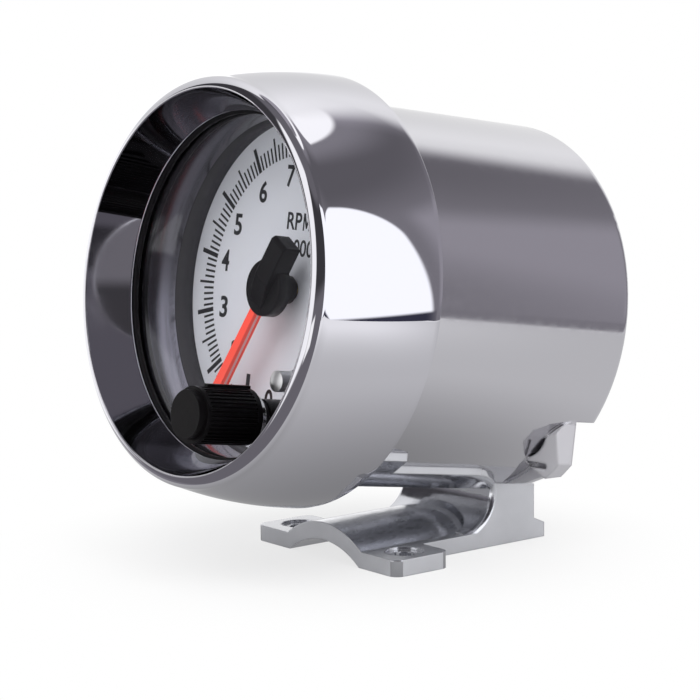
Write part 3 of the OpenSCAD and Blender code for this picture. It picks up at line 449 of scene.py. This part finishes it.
def wear(tree, shader, pattern, smooth, rough):
    """Varies the roughness between two values by the pattern."""
    sockets = {"Value": pattern, "From Min": 0.3, "From Max": 0.7, "To Min": smooth, "To Max": rough}
    tree.links.new(add(tree, "MapRange", sockets).outputs[0], shader.inputs["Roughness"])


def relief(tree, shader, pattern, depth_mm, round_mm=0.0):
    """Bump of depth_mm. round_mm softens the edges of a CAD solid as its casting or moulding would."""
    sockets = {"Height": pattern, "Distance": depth_mm * MM, "Strength": 1.0}
    if round_mm:
        sockets["Normal"] = add(tree, "Bevel", {"Radius": round_mm * MM}, samples=6)
    tree.links.new(add(tree, "Bump", sockets).outputs[0], shader.inputs["Normal"])


finishes = {}
print("finishes so far:", len(finishes))

# %% [markdown]
# Two finishes meet on the castings. Where a wheel could reach, the zinc is polished and plated; where it
# couldn't, it keeps the satin of the mould under a silver lacquer, whose flakes scatter part of the
# light. One mask, 1 on the satin, drives how metallic and how rough the shader is.

# %% Polished and cast areas
def polished_or_cast(tree, shader, mask, polished, cast):
    """polished and cast are (metallic, smooth, rough); the mask goes from one to the other."""
    metallic, smooth, rough = (soft_step(tree, mask, 0.0, 1.0, a, b) for a, b in zip(polished, cast))
    pattern = soft_step(tree, grain(tree, 2.5, 3.0), 0.3, 0.7)
    roughness = add(tree, "Mix", {0: pattern, 2: smooth, 3: rough})
    tree.links.new(metallic, shader.inputs["Metallic"])
    tree.links.new(roughness.outputs[0], shader.inputs["Roughness"])


print("castings take", polished_or_cast.__name__)

# %% [markdown]
# Some masks follow the instrument's own axis. This one tells how far a point of a piece lies from the
# mouth of the visor, along a direction. It doesn't change when the piece turns.

# %% Distance along the axis
def from_mouth(tree, direction):
    """Metres from the visor's mouth along a direction."""
    here = add(tree, "TexCoord").outputs["Object"]
    here = add(tree, "VectorMath", {0: here, 1: tuple(MOUTH)}, operation="SUBTRACT").outputs[0]
    sockets = {0: here, 1: tuple(direction)}
    return add(tree, "VectorMath", sockets, operation="DOT_PRODUCT").outputs["Value"]


print("into the case:", tuple(round(x, 3) for x in BACK))


# %% [markdown]
# Bright chrome on a polished zinc casting: a mirror, a little cool, with fine wipe marks in the gloss
# and a faint waviness that makes the edges of reflections wander. The can has the same plating over a
# satin ground, which blurs the room a little, and its two lugs, which stand out beyond its round wall,
# are left as cast. The ring behind the glass is dark nickel. Its colour is painted lighter below, where
# the dial lights it: a painted reflection of the white dial.

# %% Chrome finishes
material, tree, shader = finish("bright chrome plate", "#cdccd2", 1.0, 0.03)
wear(tree, shader, grain(tree, 9.0, 4.0, (1, 0.3, 1)), 0.015, 0.05)
relief(tree, shader, grain(tree, 22.0, 0.0), 0.012)
finishes["mirror_chrome"] = material

CAN_R, LUG_FROM, LUG_TO = 42.6, 0.05, 0.6
material, tree, shader = finish("satin chrome plate", "#cdccd1", 1.0, 0.08)
across = add(tree, "CombineXYZ", {0: from_mouth(tree, RIGHT), 1: from_mouth(tree, UP)})
radius = add(tree, "VectorMath", {0: across}, operation="LENGTH").outputs["Value"]
on_lug = soft_step(tree, radius, (CAN_R + LUG_FROM) * MM, (CAN_R + LUG_TO) * MM)
polished_or_cast(tree, shader, on_lug, (1.0, 0.06, 0.1), (0.5, 0.34, 0.44))
relief(tree, shader, grain(tree, 30.0, 0.0), 0.01, 0.9)
finishes["satin_chrome"] = material

LIGHTER_FROM, LIGHTER_TO = 6.0, -14.0
material, tree, shader = finish("dark nickel plate", "#7b7981", 1.0, 0.23)
# painted reflection: the base colour turns lighter towards the bottom, where the ring mirrors the lit dial
below = soft_step(tree, from_mouth(tree, UP), LIGHTER_FROM * MM, LIGHTER_TO * MM)
tone(tree, shader, below, "#656369", "#adabb5")
wear(tree, shader, grain(tree, 5.0, 3.0), 0.2, 0.26)
finishes["dark_chrome"] = material

# the button's cap is plated over a brushed face, so it is bright but shows no picture of the room
material, tree, shader = finish("brushed chrome cap", "#d6d6d8", 1.0, 0.38)
wear(tree, shader, grain(tree, 0.6, 3.0, (1, 6, 1)), 0.32, 0.44)
relief(tree, shader, grain(tree, 0.3, 2.0, (1, 6, 1)), 0.004, 0.1)
finishes["cap_chrome"] = material

# %% [markdown]
# The bracket is die-cast zinc. Its rounded channel and arch are polished, and its flat faces are left
# satin. The mask needs no painting: a face that looks straight along an axis is flat, and one that looks
# between the axes is part of a curve. The tops of the feet are rubbed smoother than the walls.

# %% Bracket alloy
FLAT_FROM, FLAT_TO, TOPS_RUBBED = 0.975, 0.998, 0.6
material, tree, shader = finish("die-cast zinc", "#d2d3d8", 0.7, 0.3)
tone(tree, shader, grain(tree, 6.0, 3.0), "#cccdd2", "#dcdde2")
normal = add(tree, "NewGeometry").outputs["Normal"]
parts = add(tree, "VectorMath", {0: normal}, operation="ABSOLUTE")
parts = add(tree, "SeparateXYZ", {0: parts}).outputs
square_on = parts["X"]
for axis in "YZ":
    square_on = add(tree, "Math", {0: square_on, 1: parts[axis]}, operation="MAXIMUM")
flat = soft_step(tree, square_on, FLAT_FROM, FLAT_TO)
facing_up = add(tree, "SeparateXYZ", {0: normal}).outputs["Z"]
rubbed = soft_step(tree, facing_up, FLAT_FROM, FLAT_TO, 0.0, TOPS_RUBBED)
as_cast = add(tree, "Math", {0: flat, 1: rubbed}, operation="SUBTRACT")
polished_or_cast(tree, shader, as_cast, (1.0, 0.08, 0.14), (0.5, 0.3, 0.42))
relief(tree, shader, grain(tree, 1.2, 1.0), 0.004, 0.5)
finishes["cast_alloy"] = material

# %% [markdown]
# Metals inside the case: zinc plated steel, turned brass, bright nickel, a sintered magnet and enamelled
# copper wire. Each is a row in a table, because they differ only in colour, gloss and grain. The colour
# drifts over three grains, and the gloss changes from grain to grain.

# %% Small metals
# slot, name, darker and lighter colour, smoothest and roughest, size and depth of the grain in mm
METALS = (
    ("steel", "zinc plated steel", "#b3b5b8", "#c8c9cb", 0.22, 0.34, 1.5, 0.006),
    ("brass", "turned brass", "#b99a55", "#d0b26c", 0.18, 0.30, 1.2, 0.006),
    ("bright_nut", "nickel plated brass", "#c9c9c8", "#dededc", 0.08, 0.16, 2.0, 0.004),
    ("magnet", "sintered magnet", "#55565a", "#68696d", 0.42, 0.60, 0.4, 0.02),
    ("copper_wire", "enamelled copper wire", "#9c4a22", "#b8622f", 0.20, 0.34, 0.3, 0.03),
)
for slot, name, dark, light, smooth, rough, size, depth in METALS:
    material, tree, shader = finish(name, light, 1.0, rough)
    tone(tree, shader, grain(tree, size * 3, 3.0), dark, light)
    wear(tree, shader, grain(tree, size, 3.0), smooth, rough)
    relief(tree, shader, grain(tree, size, 2.0), depth, 0.15)
    finishes[slot] = material

# %% [markdown]
# Plastics and rubber. Moulded plastics keep the fine texture of the tool; rubber is duller and takes
# dust. The knob's plastic is nearly black with a soft sheen on its ribs. The tool's fine texture takes
# more than half of the gloss away on the black pieces. Grains of this size can't be told apart in the
# picture, so the colour drifts over eight of them and the gloss over four.

# %% Plastics and rubber
# the same columns as the metals, then the index of refraction and the strength of the gloss
PLASTICS = (
    ("black_rubber", "black rubber", "#08070a", "#100f12", 0.45, 0.62, 0.5, 0.02, 1.52, 0.2),
    ("black_moulding", "black moulded ABS", "#060506", "#0c0a0c", 0.30, 0.44, 0.25, 0.008, 1.53, 0.15),
    ("white_moulding", "white moulded ABS", "#e3e3df", "#efefec", 0.35, 0.50, 0.5, 0.01, 1.53, 0.5),
    ("blue_moulding", "blue moulded nylon", "#23418a", "#2d50a0", 0.35, 0.50, 0.5, 0.01, 1.53, 0.5),
    ("board_green", "green solder resist", "#1d5a34", "#25693f", 0.28, 0.45, 0.6, 0.01, 1.55, 0.5),
)
for slot, name, dark, light, smooth, rough, size, depth, ior, gloss in PLASTICS:
    material, tree, shader = finish(name, light, 0.0, rough, IOR=ior, Specular_IOR_Level=gloss)
    tone(tree, shader, grain(tree, size * 8, 4.0), dark, light)
    wear(tree, shader, grain(tree, size * 4, 3.0), smooth, rough)
    relief(tree, shader, grain(tree, size, 2.0), depth, 0.12)
    finishes[slot] = material

# %% [markdown]
# The dial is a sheet of translucent white film on a plate: a cool white with a faint tooth. Its print
# is a dark ink with a slight gloss.

# %% Dial film and ink
material, tree, shader = finish("white dial film", "#ebecf5", 0.0, 0.42, IOR=1.49)
tone(tree, shader, grain(tree, 12.0, 3.0), "#e8e9f3", "#efeff7")
wear(tree, shader, grain(tree, 1.0, 3.0), 0.36, 0.48)
relief(tree, shader, grain(tree, 0.2, 2.0), 0.004)
finishes["dial_white"] = material

material, tree, shader = finish("black dial ink", "#222226", 0.0, 0.4, IOR=1.5)
tone(tree, shader, grain(tree, 0.6, 2.0), "#1d1d21", "#2a2a2f")
wear(tree, shader, grain(tree, 0.8, 2.0), 0.35, 0.5)
ink = material

# %% [markdown]
# The pointer is a moulded acrylic blade: its face and its back edge are painted coral red, and the grey
# of the plastic shows between them. The band is found by depth along the instrument's axis, which
# doesn't change when the pointer turns. The coral is a fluorescent paint, and the shader gives it a
# faint painted glow of its own, so it looks brighter than the light that falls on it.

# %% Pointer paint
POINTER_FACE, BAND_FROM, BAND_TO, BAND_EDGE = 19.2, 0.85, 1.55, 0.1
# painted glow: the pointer gives off a little light of its own, though it is no lamp
painted_glow = {"Emission_Color": linear("#ff4a38"), "Emission_Strength": 0.2}
material, tree, shader = finish("coral pointer paint", "#ff5443", 0.0, 0.35, IOR=1.49, **painted_glow)
deep = add(tree, "Math", {0: from_mouth(tree, BACK), 1: POINTER_FACE * MM}, operation="SUBTRACT")
band_front = soft_step(tree, deep, BAND_FROM * MM, (BAND_FROM + BAND_EDGE) * MM)
band_back = soft_step(tree, deep, BAND_TO * MM, (BAND_TO - BAND_EDGE) * MM)
band = add(tree, "Math", {0: band_front, 1: band_back}, operation="MULTIPLY")
corals = {0: grain(tree, 3.0, 2.0), 6: linear("#fb4c3b"), 7: linear("#ff5c4a")}
coral = add(tree, "Mix", corals, data_type="RGBA").outputs[2]
painted = add(tree, "Mix", {0: band, 6: coral, 7: linear("#cfc3c6")}, data_type="RGBA")
tree.links.new(painted.outputs[2], shader.inputs["Base Color"])
wear(tree, shader, grain(tree, 1.5, 2.0), 0.28, 0.42)
finishes["needle_red"] = material

# %% [markdown]
# The glass in front of the dial is a thin sheet of clear acrylic. A thin sheet shifts what lies behind
# it by very little, so light goes straight through, and only the front face adds the few per cent of
# mirror that clear plastic has, more of it at a slant.

# %% Clear pieces
CLEAR_IOR = 1.49
CLEAR = (("clear_glass", "clear acrylic", "#fbfdff", 0.0), ("lamp_clear", "lamp glass", "#fff6e2", 0.02))
for slot, name, colour, rough in CLEAR:
    material, tree, shader = finish(name, colour, 1.0, rough)
    film = add(tree, "BsdfTransparent", {"Color": (0.99, 0.995, 0.995, 1)})
    # shadows and scattered light pass without a mirror, and so does what leaves by a back face
    rays = add(tree, "LightPath").outputs
    passing = add(tree, "NewGeometry").outputs["Backfacing"]
    for ray in ("Is Shadow Ray", "Is Diffuse Ray"):
        passing = add(tree, "Math", {0: passing, 1: rays[ray]}, operation="MAXIMUM")
    stopped = add(tree, "Math", {0: 1.0, 1: passing}, operation="SUBTRACT")
    fresnel = add(tree, "Fresnel", {"IOR": CLEAR_IOR})
    mirror = add(tree, "Math", {0: fresnel, 1: stopped}, operation="MULTIPLY")
    mix = add(tree, "MixShader", {0: mirror, 1: film, 2: shader})
    out = next(n for n in tree.nodes if n.type == "OUTPUT_MATERIAL")
    tree.links.new(mix.outputs[0], out.inputs["Surface"])
    finishes[slot] = material

print("finishes:", len(finishes))

# %% [markdown]
# Each CAD node takes the finish that the record names for it. Only the button's cap has its own.

# %% Dress the CAD nodes
slot_of = {part["node"]: part["material_slot"] for part in frame["record"]["subparts"]}
slot_of["button"] = "cap_chrome"
for name, piece in nodes.items():
    piece.data.materials.clear()
    piece.data.materials.append(finishes[slot_of[name]])
print("dressed", len(nodes), "nodes")

# %% [markdown]
# Most pieces round the dial are spun or turned: one outline that goes round the axis. A modifier could
# screw the outline round, but a few lines that place each ring of points keep the piece in this frame.
# A mirror shows every facet, so chrome is turned in many steps.

# %% Turning helpers
def piece_from(name, shape, material, smooth=False):
    """Turns a bmesh into a piece of the scene."""
    bmesh.ops.recalc_face_normals(shape, faces=shape.faces)
    mesh = bpy.data.meshes.new(name)
    shape.to_mesh(mesh)
    shape.free()
    for face in mesh.polygons:
        face.use_smooth = smooth
    piece = bpy.data.objects.new(name, mesh)
    scene.collection.objects.link(piece)
    mesh.materials.append(material)
    print(name, len(mesh.polygons), "faces")
    return piece


def lathe(name, outline, material, steps=256):
    """Turns a closed outline of (radius, depth) in millimetres round the instrument's axis."""
    shape = bmesh.new()
    rings = []
    for radius, depth in outline:
        turned = [on_clock(radius, 360 * i / steps, depth) for i in range(steps)]
        rings.append([shape.verts.new(point) for point in turned])
    for ring, after in zip(rings, rings[1:] + rings[:1]):
        for i in range(steps):
            j = (i + 1) % steps
            shape.faces.new((ring[i], ring[j], after[j], after[i]))
    return piece_from(name, shape, material, smooth=True)


def arc(centre, radius, start, end, steps):
    """Points on an arc round centre, from start to end degrees."""
    angles = [math.radians(start + (end - start) * i / steps) for i in range(steps + 1)]
    return [(centre[0] + radius * math.cos(a), centre[1] + radius * math.sin(a)) for a in angles]


# %% [markdown]
# The visor is a spun and plated shell with a liner that holds the glass. Its lip and its sharp rear edge
# get real roundings, because in a mirror these catch a line of light.

# %% Visor
VISOR_R, VISOR_LENGTH, BARREL_R, LIP_R = 47.5, 29.4, 99.0, 2.6
MOUTH_R, NECK_R, LAND, GLASS_DEPTH = 41.0, 37.4, 9.6, 10.4
WALL, LINER, LENS_R = 2.0, 1.4, 39.6
MOUTH_ROUND, EDGE, BARREL_STEPS, BORE_END = 0.25, 0.22, 24, VISOR_LENGTH - 8
# depths of the points on the inner side of the wall, and where the liner starts
WALL_DEPTHS, LINER_START = (26, 22, 18, 14, 10, 7, 4.4), 3.2


def barrel(depth, inset=0.0):
    """Radius of the visor's long outer curve."""
    return VISOR_R - BARREL_R + math.sqrt((BARREL_R - inset) ** 2 - (VISOR_LENGTH - depth) ** 2)


lip_centre = (barrel(LIP_R) - LIP_R, LIP_R)
barrel_end = VISOR_LENGTH - EDGE
barrel_step = (barrel_end - LIP_R) / BARREL_STEPS
# from the mouth over the lip and along the outside to the rear edge
outline = [(MOUTH_R, MOUTH_ROUND)]
outline += arc((MOUTH_R + MOUTH_ROUND, MOUTH_ROUND), MOUTH_ROUND, 180, 270, 4)[1:]
outline += arc(lip_centre, LIP_R, -90, 0, 14)
for i in range(1, BARREL_STEPS + 1):
    depth = LIP_R + barrel_step * i
    outline.append((barrel(depth), depth))
outline += arc((VISOR_R - EDGE, barrel_end), EDGE, 0, 90, 4)[1:]
outline += [(VISOR_R - WALL + EDGE, VISOR_LENGTH), (VISOR_R - WALL, barrel_end)]
# forward again inside the wall, then round the liner, which the glass sits in
outline += [(barrel(depth, WALL), depth) for depth in WALL_DEPTHS]
outline += [(MOUTH_R + LINER, LINER_START), (NECK_R + LINER + 0.6, LAND - 0.4)]
outline += [(LENS_R + LINER + 0.1, LAND + 1.2), (LENS_R + LINER, BORE_END)]
outline += [(LENS_R, BORE_END), (LENS_R, GLASS_DEPTH), (NECK_R, GLASS_DEPTH)]
outline += [(NECK_R, LAND + 0.15), (NECK_R + 0.06, LAND)]
print("visor outline:", len(outline), "points")

visor_shell = lathe("visor_shell", outline, finishes["mirror_chrome"], steps=384)
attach(visor_shell, "housing")
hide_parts("visor")

# %% [markdown]
# Behind the visor's rear edge, twelve ribs centre it on the can. They are only seen from behind, in the
# narrow ring between the two, so each is a plain block between two loops of corners.

# %% Visor ribs
RIBS, RIB_T, RIB_FRONT, RIB_BACK = 12, 1.2, 16.0, VISOR_LENGTH - 1.6
RIB_CLEAR, RIB_ROOT = 0.02, 0.4


def spoke(angle, inner, outer, width):
    """Four corners of a bar along a radius, as (right, up) in millimetres."""
    rad = math.radians(angle)
    out = Vector((math.cos(rad), math.sin(rad)))
    side = Vector((-out.y, out.x)) * width / 2
    return [out * r + side * s for r, s in ((inner, -1), (outer, -1), (outer, 1), (inner, 1))]


def slab(shape, corners_front, corners_back):
    """Closes a block between two loops of four points."""
    a = [shape.verts.new(p) for p in corners_front]
    b = [shape.verts.new(p) for p in corners_back]
    shape.faces.new(a[::-1])
    shape.faces.new(b)
    for i in range(4):
        j = (i + 1) % 4
        shape.faces.new((a[i], a[j], b[j], b[i]))


shape = bmesh.new()
for i in range(RIBS):
    loops = []
    for depth in (RIB_FRONT, RIB_BACK):
        inner, outer = CAN_R + RIB_CLEAR, barrel(depth, WALL) + RIB_ROOT
        corners = spoke((i + 0.5) * 360 / RIBS, inner, outer, RIB_T)
        loops.append([on_dial(*corner, depth) for corner in corners])
    slab(shape, *loops)
ribs = piece_from("visor_ribs", shape, finishes["mirror_chrome"])
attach(ribs, "housing")

# %% [markdown]
# The glass is clamped between two black rubber rings. From the driver's seat only their inner edges
# show, as one black line round the glass, so they are turned to a clean square section.

# %% Seals of the glass
SEAL_R, LENS_FRONT, LENS_BACK = 36.9, 11.6, 13.6
SEAL_OUT, SEAL_START, CHAMFER, TOUCH = LENS_R - 0.1, GLASS_DEPTH + 0.1, 0.2, 0.02
REAR_SEAL_T = 0.7
REAR_START, REAR_END = LENS_BACK + TOUCH, LENS_BACK + REAR_SEAL_T
front_seal = [(SEAL_R, SEAL_START + CHAMFER), (SEAL_R + CHAMFER, SEAL_START), (SEAL_OUT, SEAL_START)]
front_seal += [(SEAL_OUT, LENS_FRONT - TOUCH), (SEAL_R, LENS_FRONT - TOUCH)]
rear_seal = [(SEAL_R + CHAMFER, REAR_START), (SEAL_OUT, REAR_START)]
rear_seal += [(SEAL_OUT, REAR_END), (SEAL_R + CHAMFER, REAR_END)]
seals = [
    lathe("lens_front_seal", front_seal, finishes["black_rubber"]),
    lathe("lens_rear_seal", rear_seal, finishes["black_rubber"]),
]
for seal in seals:
    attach(seal, "housing")
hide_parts("lens_gasket")

# %% [markdown]
# Between the glass and the dial stands a turned ring: its front half is dark nickel plate, its rear half
# is matt black so that nothing outshines the dial.

# %% Spacer ring
SPACER_R, SPACER_OUT, BOX_R, FLANGE_T = 37.3, 38.6, 40.4, 1.2
START, SPLIT, DIAL_FACE, BREAK = REAR_END + TOUCH, 22.0, 26.9, 0.15
bright_part = [(SPACER_R, START + BREAK), (SPACER_R + BREAK, START)]
bright_part += [(BOX_R, START), (BOX_R, START + FLANGE_T), (SPACER_OUT, START + FLANGE_T)]
bright_part += [(SPACER_OUT, SPLIT), (SPACER_R + 0.1, SPLIT), (SPACER_R, SPLIT - 0.3)]
bright_ring = lathe("spacer_bright_ring", bright_part, finishes["dark_chrome"])

material, tree, shader = finish("matt black lacquer", "#3d3c40", 0.0, 0.5, IOR=1.5, Specular_IOR_Level=0.3)
tone(tree, shader, grain(tree, 2.0, 3.0), "#39383c", "#434246")
wear(tree, shader, grain(tree, 1.0, 2.0), 0.45, 0.6)
dark_end = DIAL_FACE - 0.05
dark_part = [(SPACER_R + BREAK, SPLIT), (SPACER_R + BREAK, dark_end), (BOX_R, dark_end)]
dark_part += [(BOX_R, DIAL_FACE - FLANGE_T), (SPACER_OUT, DIAL_FACE - FLANGE_T), (SPACER_OUT, SPLIT)]
dark_ring = lathe("spacer_dark_ring", dark_part, material)
for ring in (bright_ring, dark_ring):
    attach(ring, "housing")
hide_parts("spacer_ring")

# %% [markdown]
# The pointer's hub is one black moulding: a round cap, a tail that balances the pointer, and a ridge
# that runs from the tail across the cap. The cap and the boss under it are turned.

# %% Hub cap
CAP_R, CAP_FACE, CAP_BACK, CAP_ROUND = 6.2, 18.9, 21.9, 0.4
BOSS_R, BOSS_BACK, PIN_R = 3.1, 26.0, 0.02
cap = [(PIN_R, CAP_FACE)] + arc((CAP_R - CAP_ROUND, CAP_FACE + CAP_ROUND), CAP_ROUND, 270, 360, 5)
cap += [(CAP_R, CAP_BACK), (BOSS_R, CAP_BACK), (BOSS_R, BOSS_BACK), (PIN_R, BOSS_BACK)]
hub_cap = lathe("hub_cap", cap, finishes["black_moulding"], steps=96)
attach(hub_cap, "needle_body")
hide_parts("needle_hub")

# %% [markdown]
# The tail is a block whose side view is drawn along the pointer's line. That direction is read from the
# CAD pointer, so the tail lies in line with it at any pose.

# %% Tail
blade = [v.co - MOUTH for v in nodes["needle"].data.vertices]
tip = max(blade, key=lambda v: math.hypot(v.dot(RIGHT), v.dot(UP)))
along = -Vector((tip.dot(RIGHT), tip.dot(UP))).normalized()
across = Vector((-along.y, along.x))
TAIL_HALF, TAIL_REACH, TAIL_FACE = 2.7, 11.9, 17.4
RIDGE_START, RIDGE_FULL, TAIL_EDGE, TAIL_ROUND = -4.4, 2.0, 0.7, 0.25
side_view = [(RIDGE_START, CAP_FACE), (RIDGE_FULL, TAIL_FACE), (TAIL_REACH - TAIL_EDGE, TAIL_FACE)]
side_view += [(TAIL_REACH, TAIL_FACE + TAIL_EDGE), (TAIL_REACH, CAP_BACK), (RIDGE_START, CAP_BACK)]
shape = bmesh.new()
sides = []
for edge in (-TAIL_HALF, TAIL_HALF):
    sides.append([shape.verts.new(on_dial(*(along * a + across * edge), d)) for a, d in side_view])
shape.faces.new(sides[0])
shape.faces.new(sides[1][::-1])
for i in range(len(side_view)):
    j = (i + 1) % len(side_view)
    shape.faces.new((sides[0][i], sides[1][i], sides[1][j], sides[0][j]))
bmesh.ops.recalc_face_normals(shape, faces=shape.faces)
bmesh.ops.bevel(
    shape, geom=shape.edges[:], offset=TAIL_ROUND * MM, segments=2, affect="EDGES", profile=0.5)
tail = piece_from("hub_tail", shape, finishes["black_moulding"])
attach(tail, "needle_body")

# %% [markdown]
# The scale is printed: eleven thousand turns a minute over just under three quarters of the circle,
# with a heavy stroke at each thousand, a lighter one at each half and short ones between. An image could
# carry them, but each stroke is a thin raised bar here, because screen ink stands a little proud of the
# film and its edges stay sharp from near.

# %% Scale strokes
ZERO_AT, PER_THOUSAND, THOUSANDS, INK_T = 264.2, 23.67, 11, 0.04
# radius of the inner and the outer end, and width
STROKES = {"thousand": (29.4, 35.4, 1.0), "half": (29.4, 34.8, 0.55), "light": (29.4, 33.0, 0.5)}


def printed_bar(shape, angle, inner, outer, width):
    """A bar of ink along a radius of the dial."""
    corners = spoke(angle, inner, outer, width)
    front = [on_dial(*corner, DIAL_FACE - INK_T) for corner in corners]
    back = [on_dial(*corner, DIAL_FACE) for corner in corners]
    slab(shape, front, back)


shape = bmesh.new()
for i in range(THOUSANDS * 10 + 1):
    kind = "thousand" if i % 10 == 0 else "half" if i % 5 == 0 else "light"
    printed_bar(shape, ZERO_AT - i * PER_THOUSAND / 10, *STROKES[kind])
strokes = piece_from("dial_strokes", shape, ink)
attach(strokes, "housing")

# %% [markdown]
# The figures stand upright round the scale, so the driver can read them at a glance. Blender's own
# font is a little wide for a gauge, so each figure is drawn once, made bolder by an outline offset,
# then fitted to the height and width that a gauge's narrow lettering has.

# %% Lettering
def lettering(text, centre, height, width, bold):
    """Flat letters as a list of (points, faces), fitted to a box in millimetres on the dial."""
    curve = bpy.data.curves.new("letters", "FONT")
    curve.body = text
    curve.offset = bold
    curve.resolution_u = 4
    holder = bpy.data.objects.new("letters", curve)
    scene.collection.objects.link(holder)
    bpy.context.view_layer.update()
    drawn = holder.evaluated_get(bpy.context.evaluated_depsgraph_get())
    mesh = bpy.data.meshes.new_from_object(drawn)
    xs = [v.co.x for v in mesh.vertices]
    ys = [v.co.y for v in mesh.vertices]
    wide, mid_x = max(xs) - min(xs), (max(xs) + min(xs)) / 2
    tall, mid_y = max(ys) - min(ys), (max(ys) + min(ys)) / 2
    points = []
    for x, y in zip(xs, ys):
        points.append((centre[0] + (x - mid_x) * width / wide, centre[1] + (y - mid_y) * height / tall))
    faces = [tuple(f.vertices) for f in mesh.polygons]
    bpy.data.objects.remove(holder)
    bpy.data.curves.remove(curve)
    bpy.data.meshes.remove(mesh)
    return points, faces


def print_on_dial(shape, points, faces):
    """Lays letters on the dial as thin ink with sides."""
    low = [shape.verts.new(on_dial(x, y, DIAL_FACE)) for x, y in points]
    high = [shape.verts.new(on_dial(x, y, DIAL_FACE - INK_T)) for x, y in points]
    for face in faces:
        shape.faces.new([high[i] for i in face])
    edges = dict.fromkeys(edge for face in faces for edge in zip(face, face[1:] + face[:1]))
    # an edge that no other face shares is on the outline
    for i, j in edges:
        if (j, i) not in edges:
            shape.faces.new((high[j], high[i], low[i], low[j]))


print("ink stands", INK_T, "mm proud of the film")

# %% [markdown]
# Sign writers place figures by eye, so a few stand a little off the circle, and the 0 stands beside its
# stroke.

# %% Figures
FIGURE_R, FIGURE_H, FIGURE_W, FIGURE_BOLD = 25.6, 4.9, 2.85, 0.022
OTHER_WIDTHS = {"0": 2.9, "1": 1.35, "10": 5.2, "11": 4.0}
# millimetres right and up from the circle
BY_EYE = {2: (1.6, 0.0), 3: (0.3, 0.0), 4: (-0.5, 0.0), 5: (-1.0, -1.4), 6: (-0.3, -0.9), 7: (-0.6, -0.6)}
ZERO_FIGURE_AT = (-4.4, -24.8)
shape = bmesh.new()
for n in range(THOUSANDS + 1):
    rad = math.radians(ZERO_AT - n * PER_THOUSAND)
    dx, dy = BY_EYE.get(n, (0, 0))
    centre = (FIGURE_R * math.cos(rad) + dx, FIGURE_R * math.sin(rad) + dy) if n else ZERO_FIGURE_AT
    width = OTHER_WIDTHS.get(str(n), FIGURE_W)
    print_on_dial(shape, *lettering(str(n), centre, FIGURE_H, width, FIGURE_BOLD))
print("figures 0 to", THOUSANDS, "with", len(shape.faces), "faces")

# %% [markdown]
# The unit stands above the middle. An M made bold by an offset crosses itself, so that one letter is
# drawn from listed points, on a square of one unit.

# %% The unit
UNIT_H, UNIT_Y = 3.8, 15.0
M_LEFT, M_W, STEM, CROTCH = 1.7, 2.5, 0.18, 0.12
# text, middle, height, width and boldness
BEFORE_M = ("RP", (-1.45, UNIT_Y), UNIT_H, 5.2, 0.016)
BELOW = ("x1000", (0, 9.25), 3.7, 12.0, 0.014)
M_OUTLINE = [(0, 0), (0, 1), (0.24, 1), (0.5, 0.4), (0.76, 1), (1, 1), (1, 0), (1 - STEM, 0)]
M_OUTLINE += [(1 - STEM, 0.64), (0.58, CROTCH), (0.42, CROTCH), (STEM, 0.64), (STEM, 0)]
print_on_dial(shape, *lettering(*BEFORE_M))
m_points = [(M_LEFT + M_W * x, UNIT_Y + UNIT_H * (y - 0.5)) for x, y in M_OUTLINE]
print_on_dial(shape, m_points, [tuple(range(len(M_OUTLINE)))])
print_on_dial(shape, *lettering(*BELOW))
figures = piece_from("dial_figures", shape, ink)
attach(figures, "housing")

# %% [markdown]
# Last, the boxes of the CAD model and of the dressed one are printed, one above the other.

# %% Sizes, and the end
look_low, look_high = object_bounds()
for title, low, high in (("CAD", cad_low, cad_high), ("dressed", look_low, look_high)):
    print(title, "box", [round(x, 4) for x in (*low, *high)])
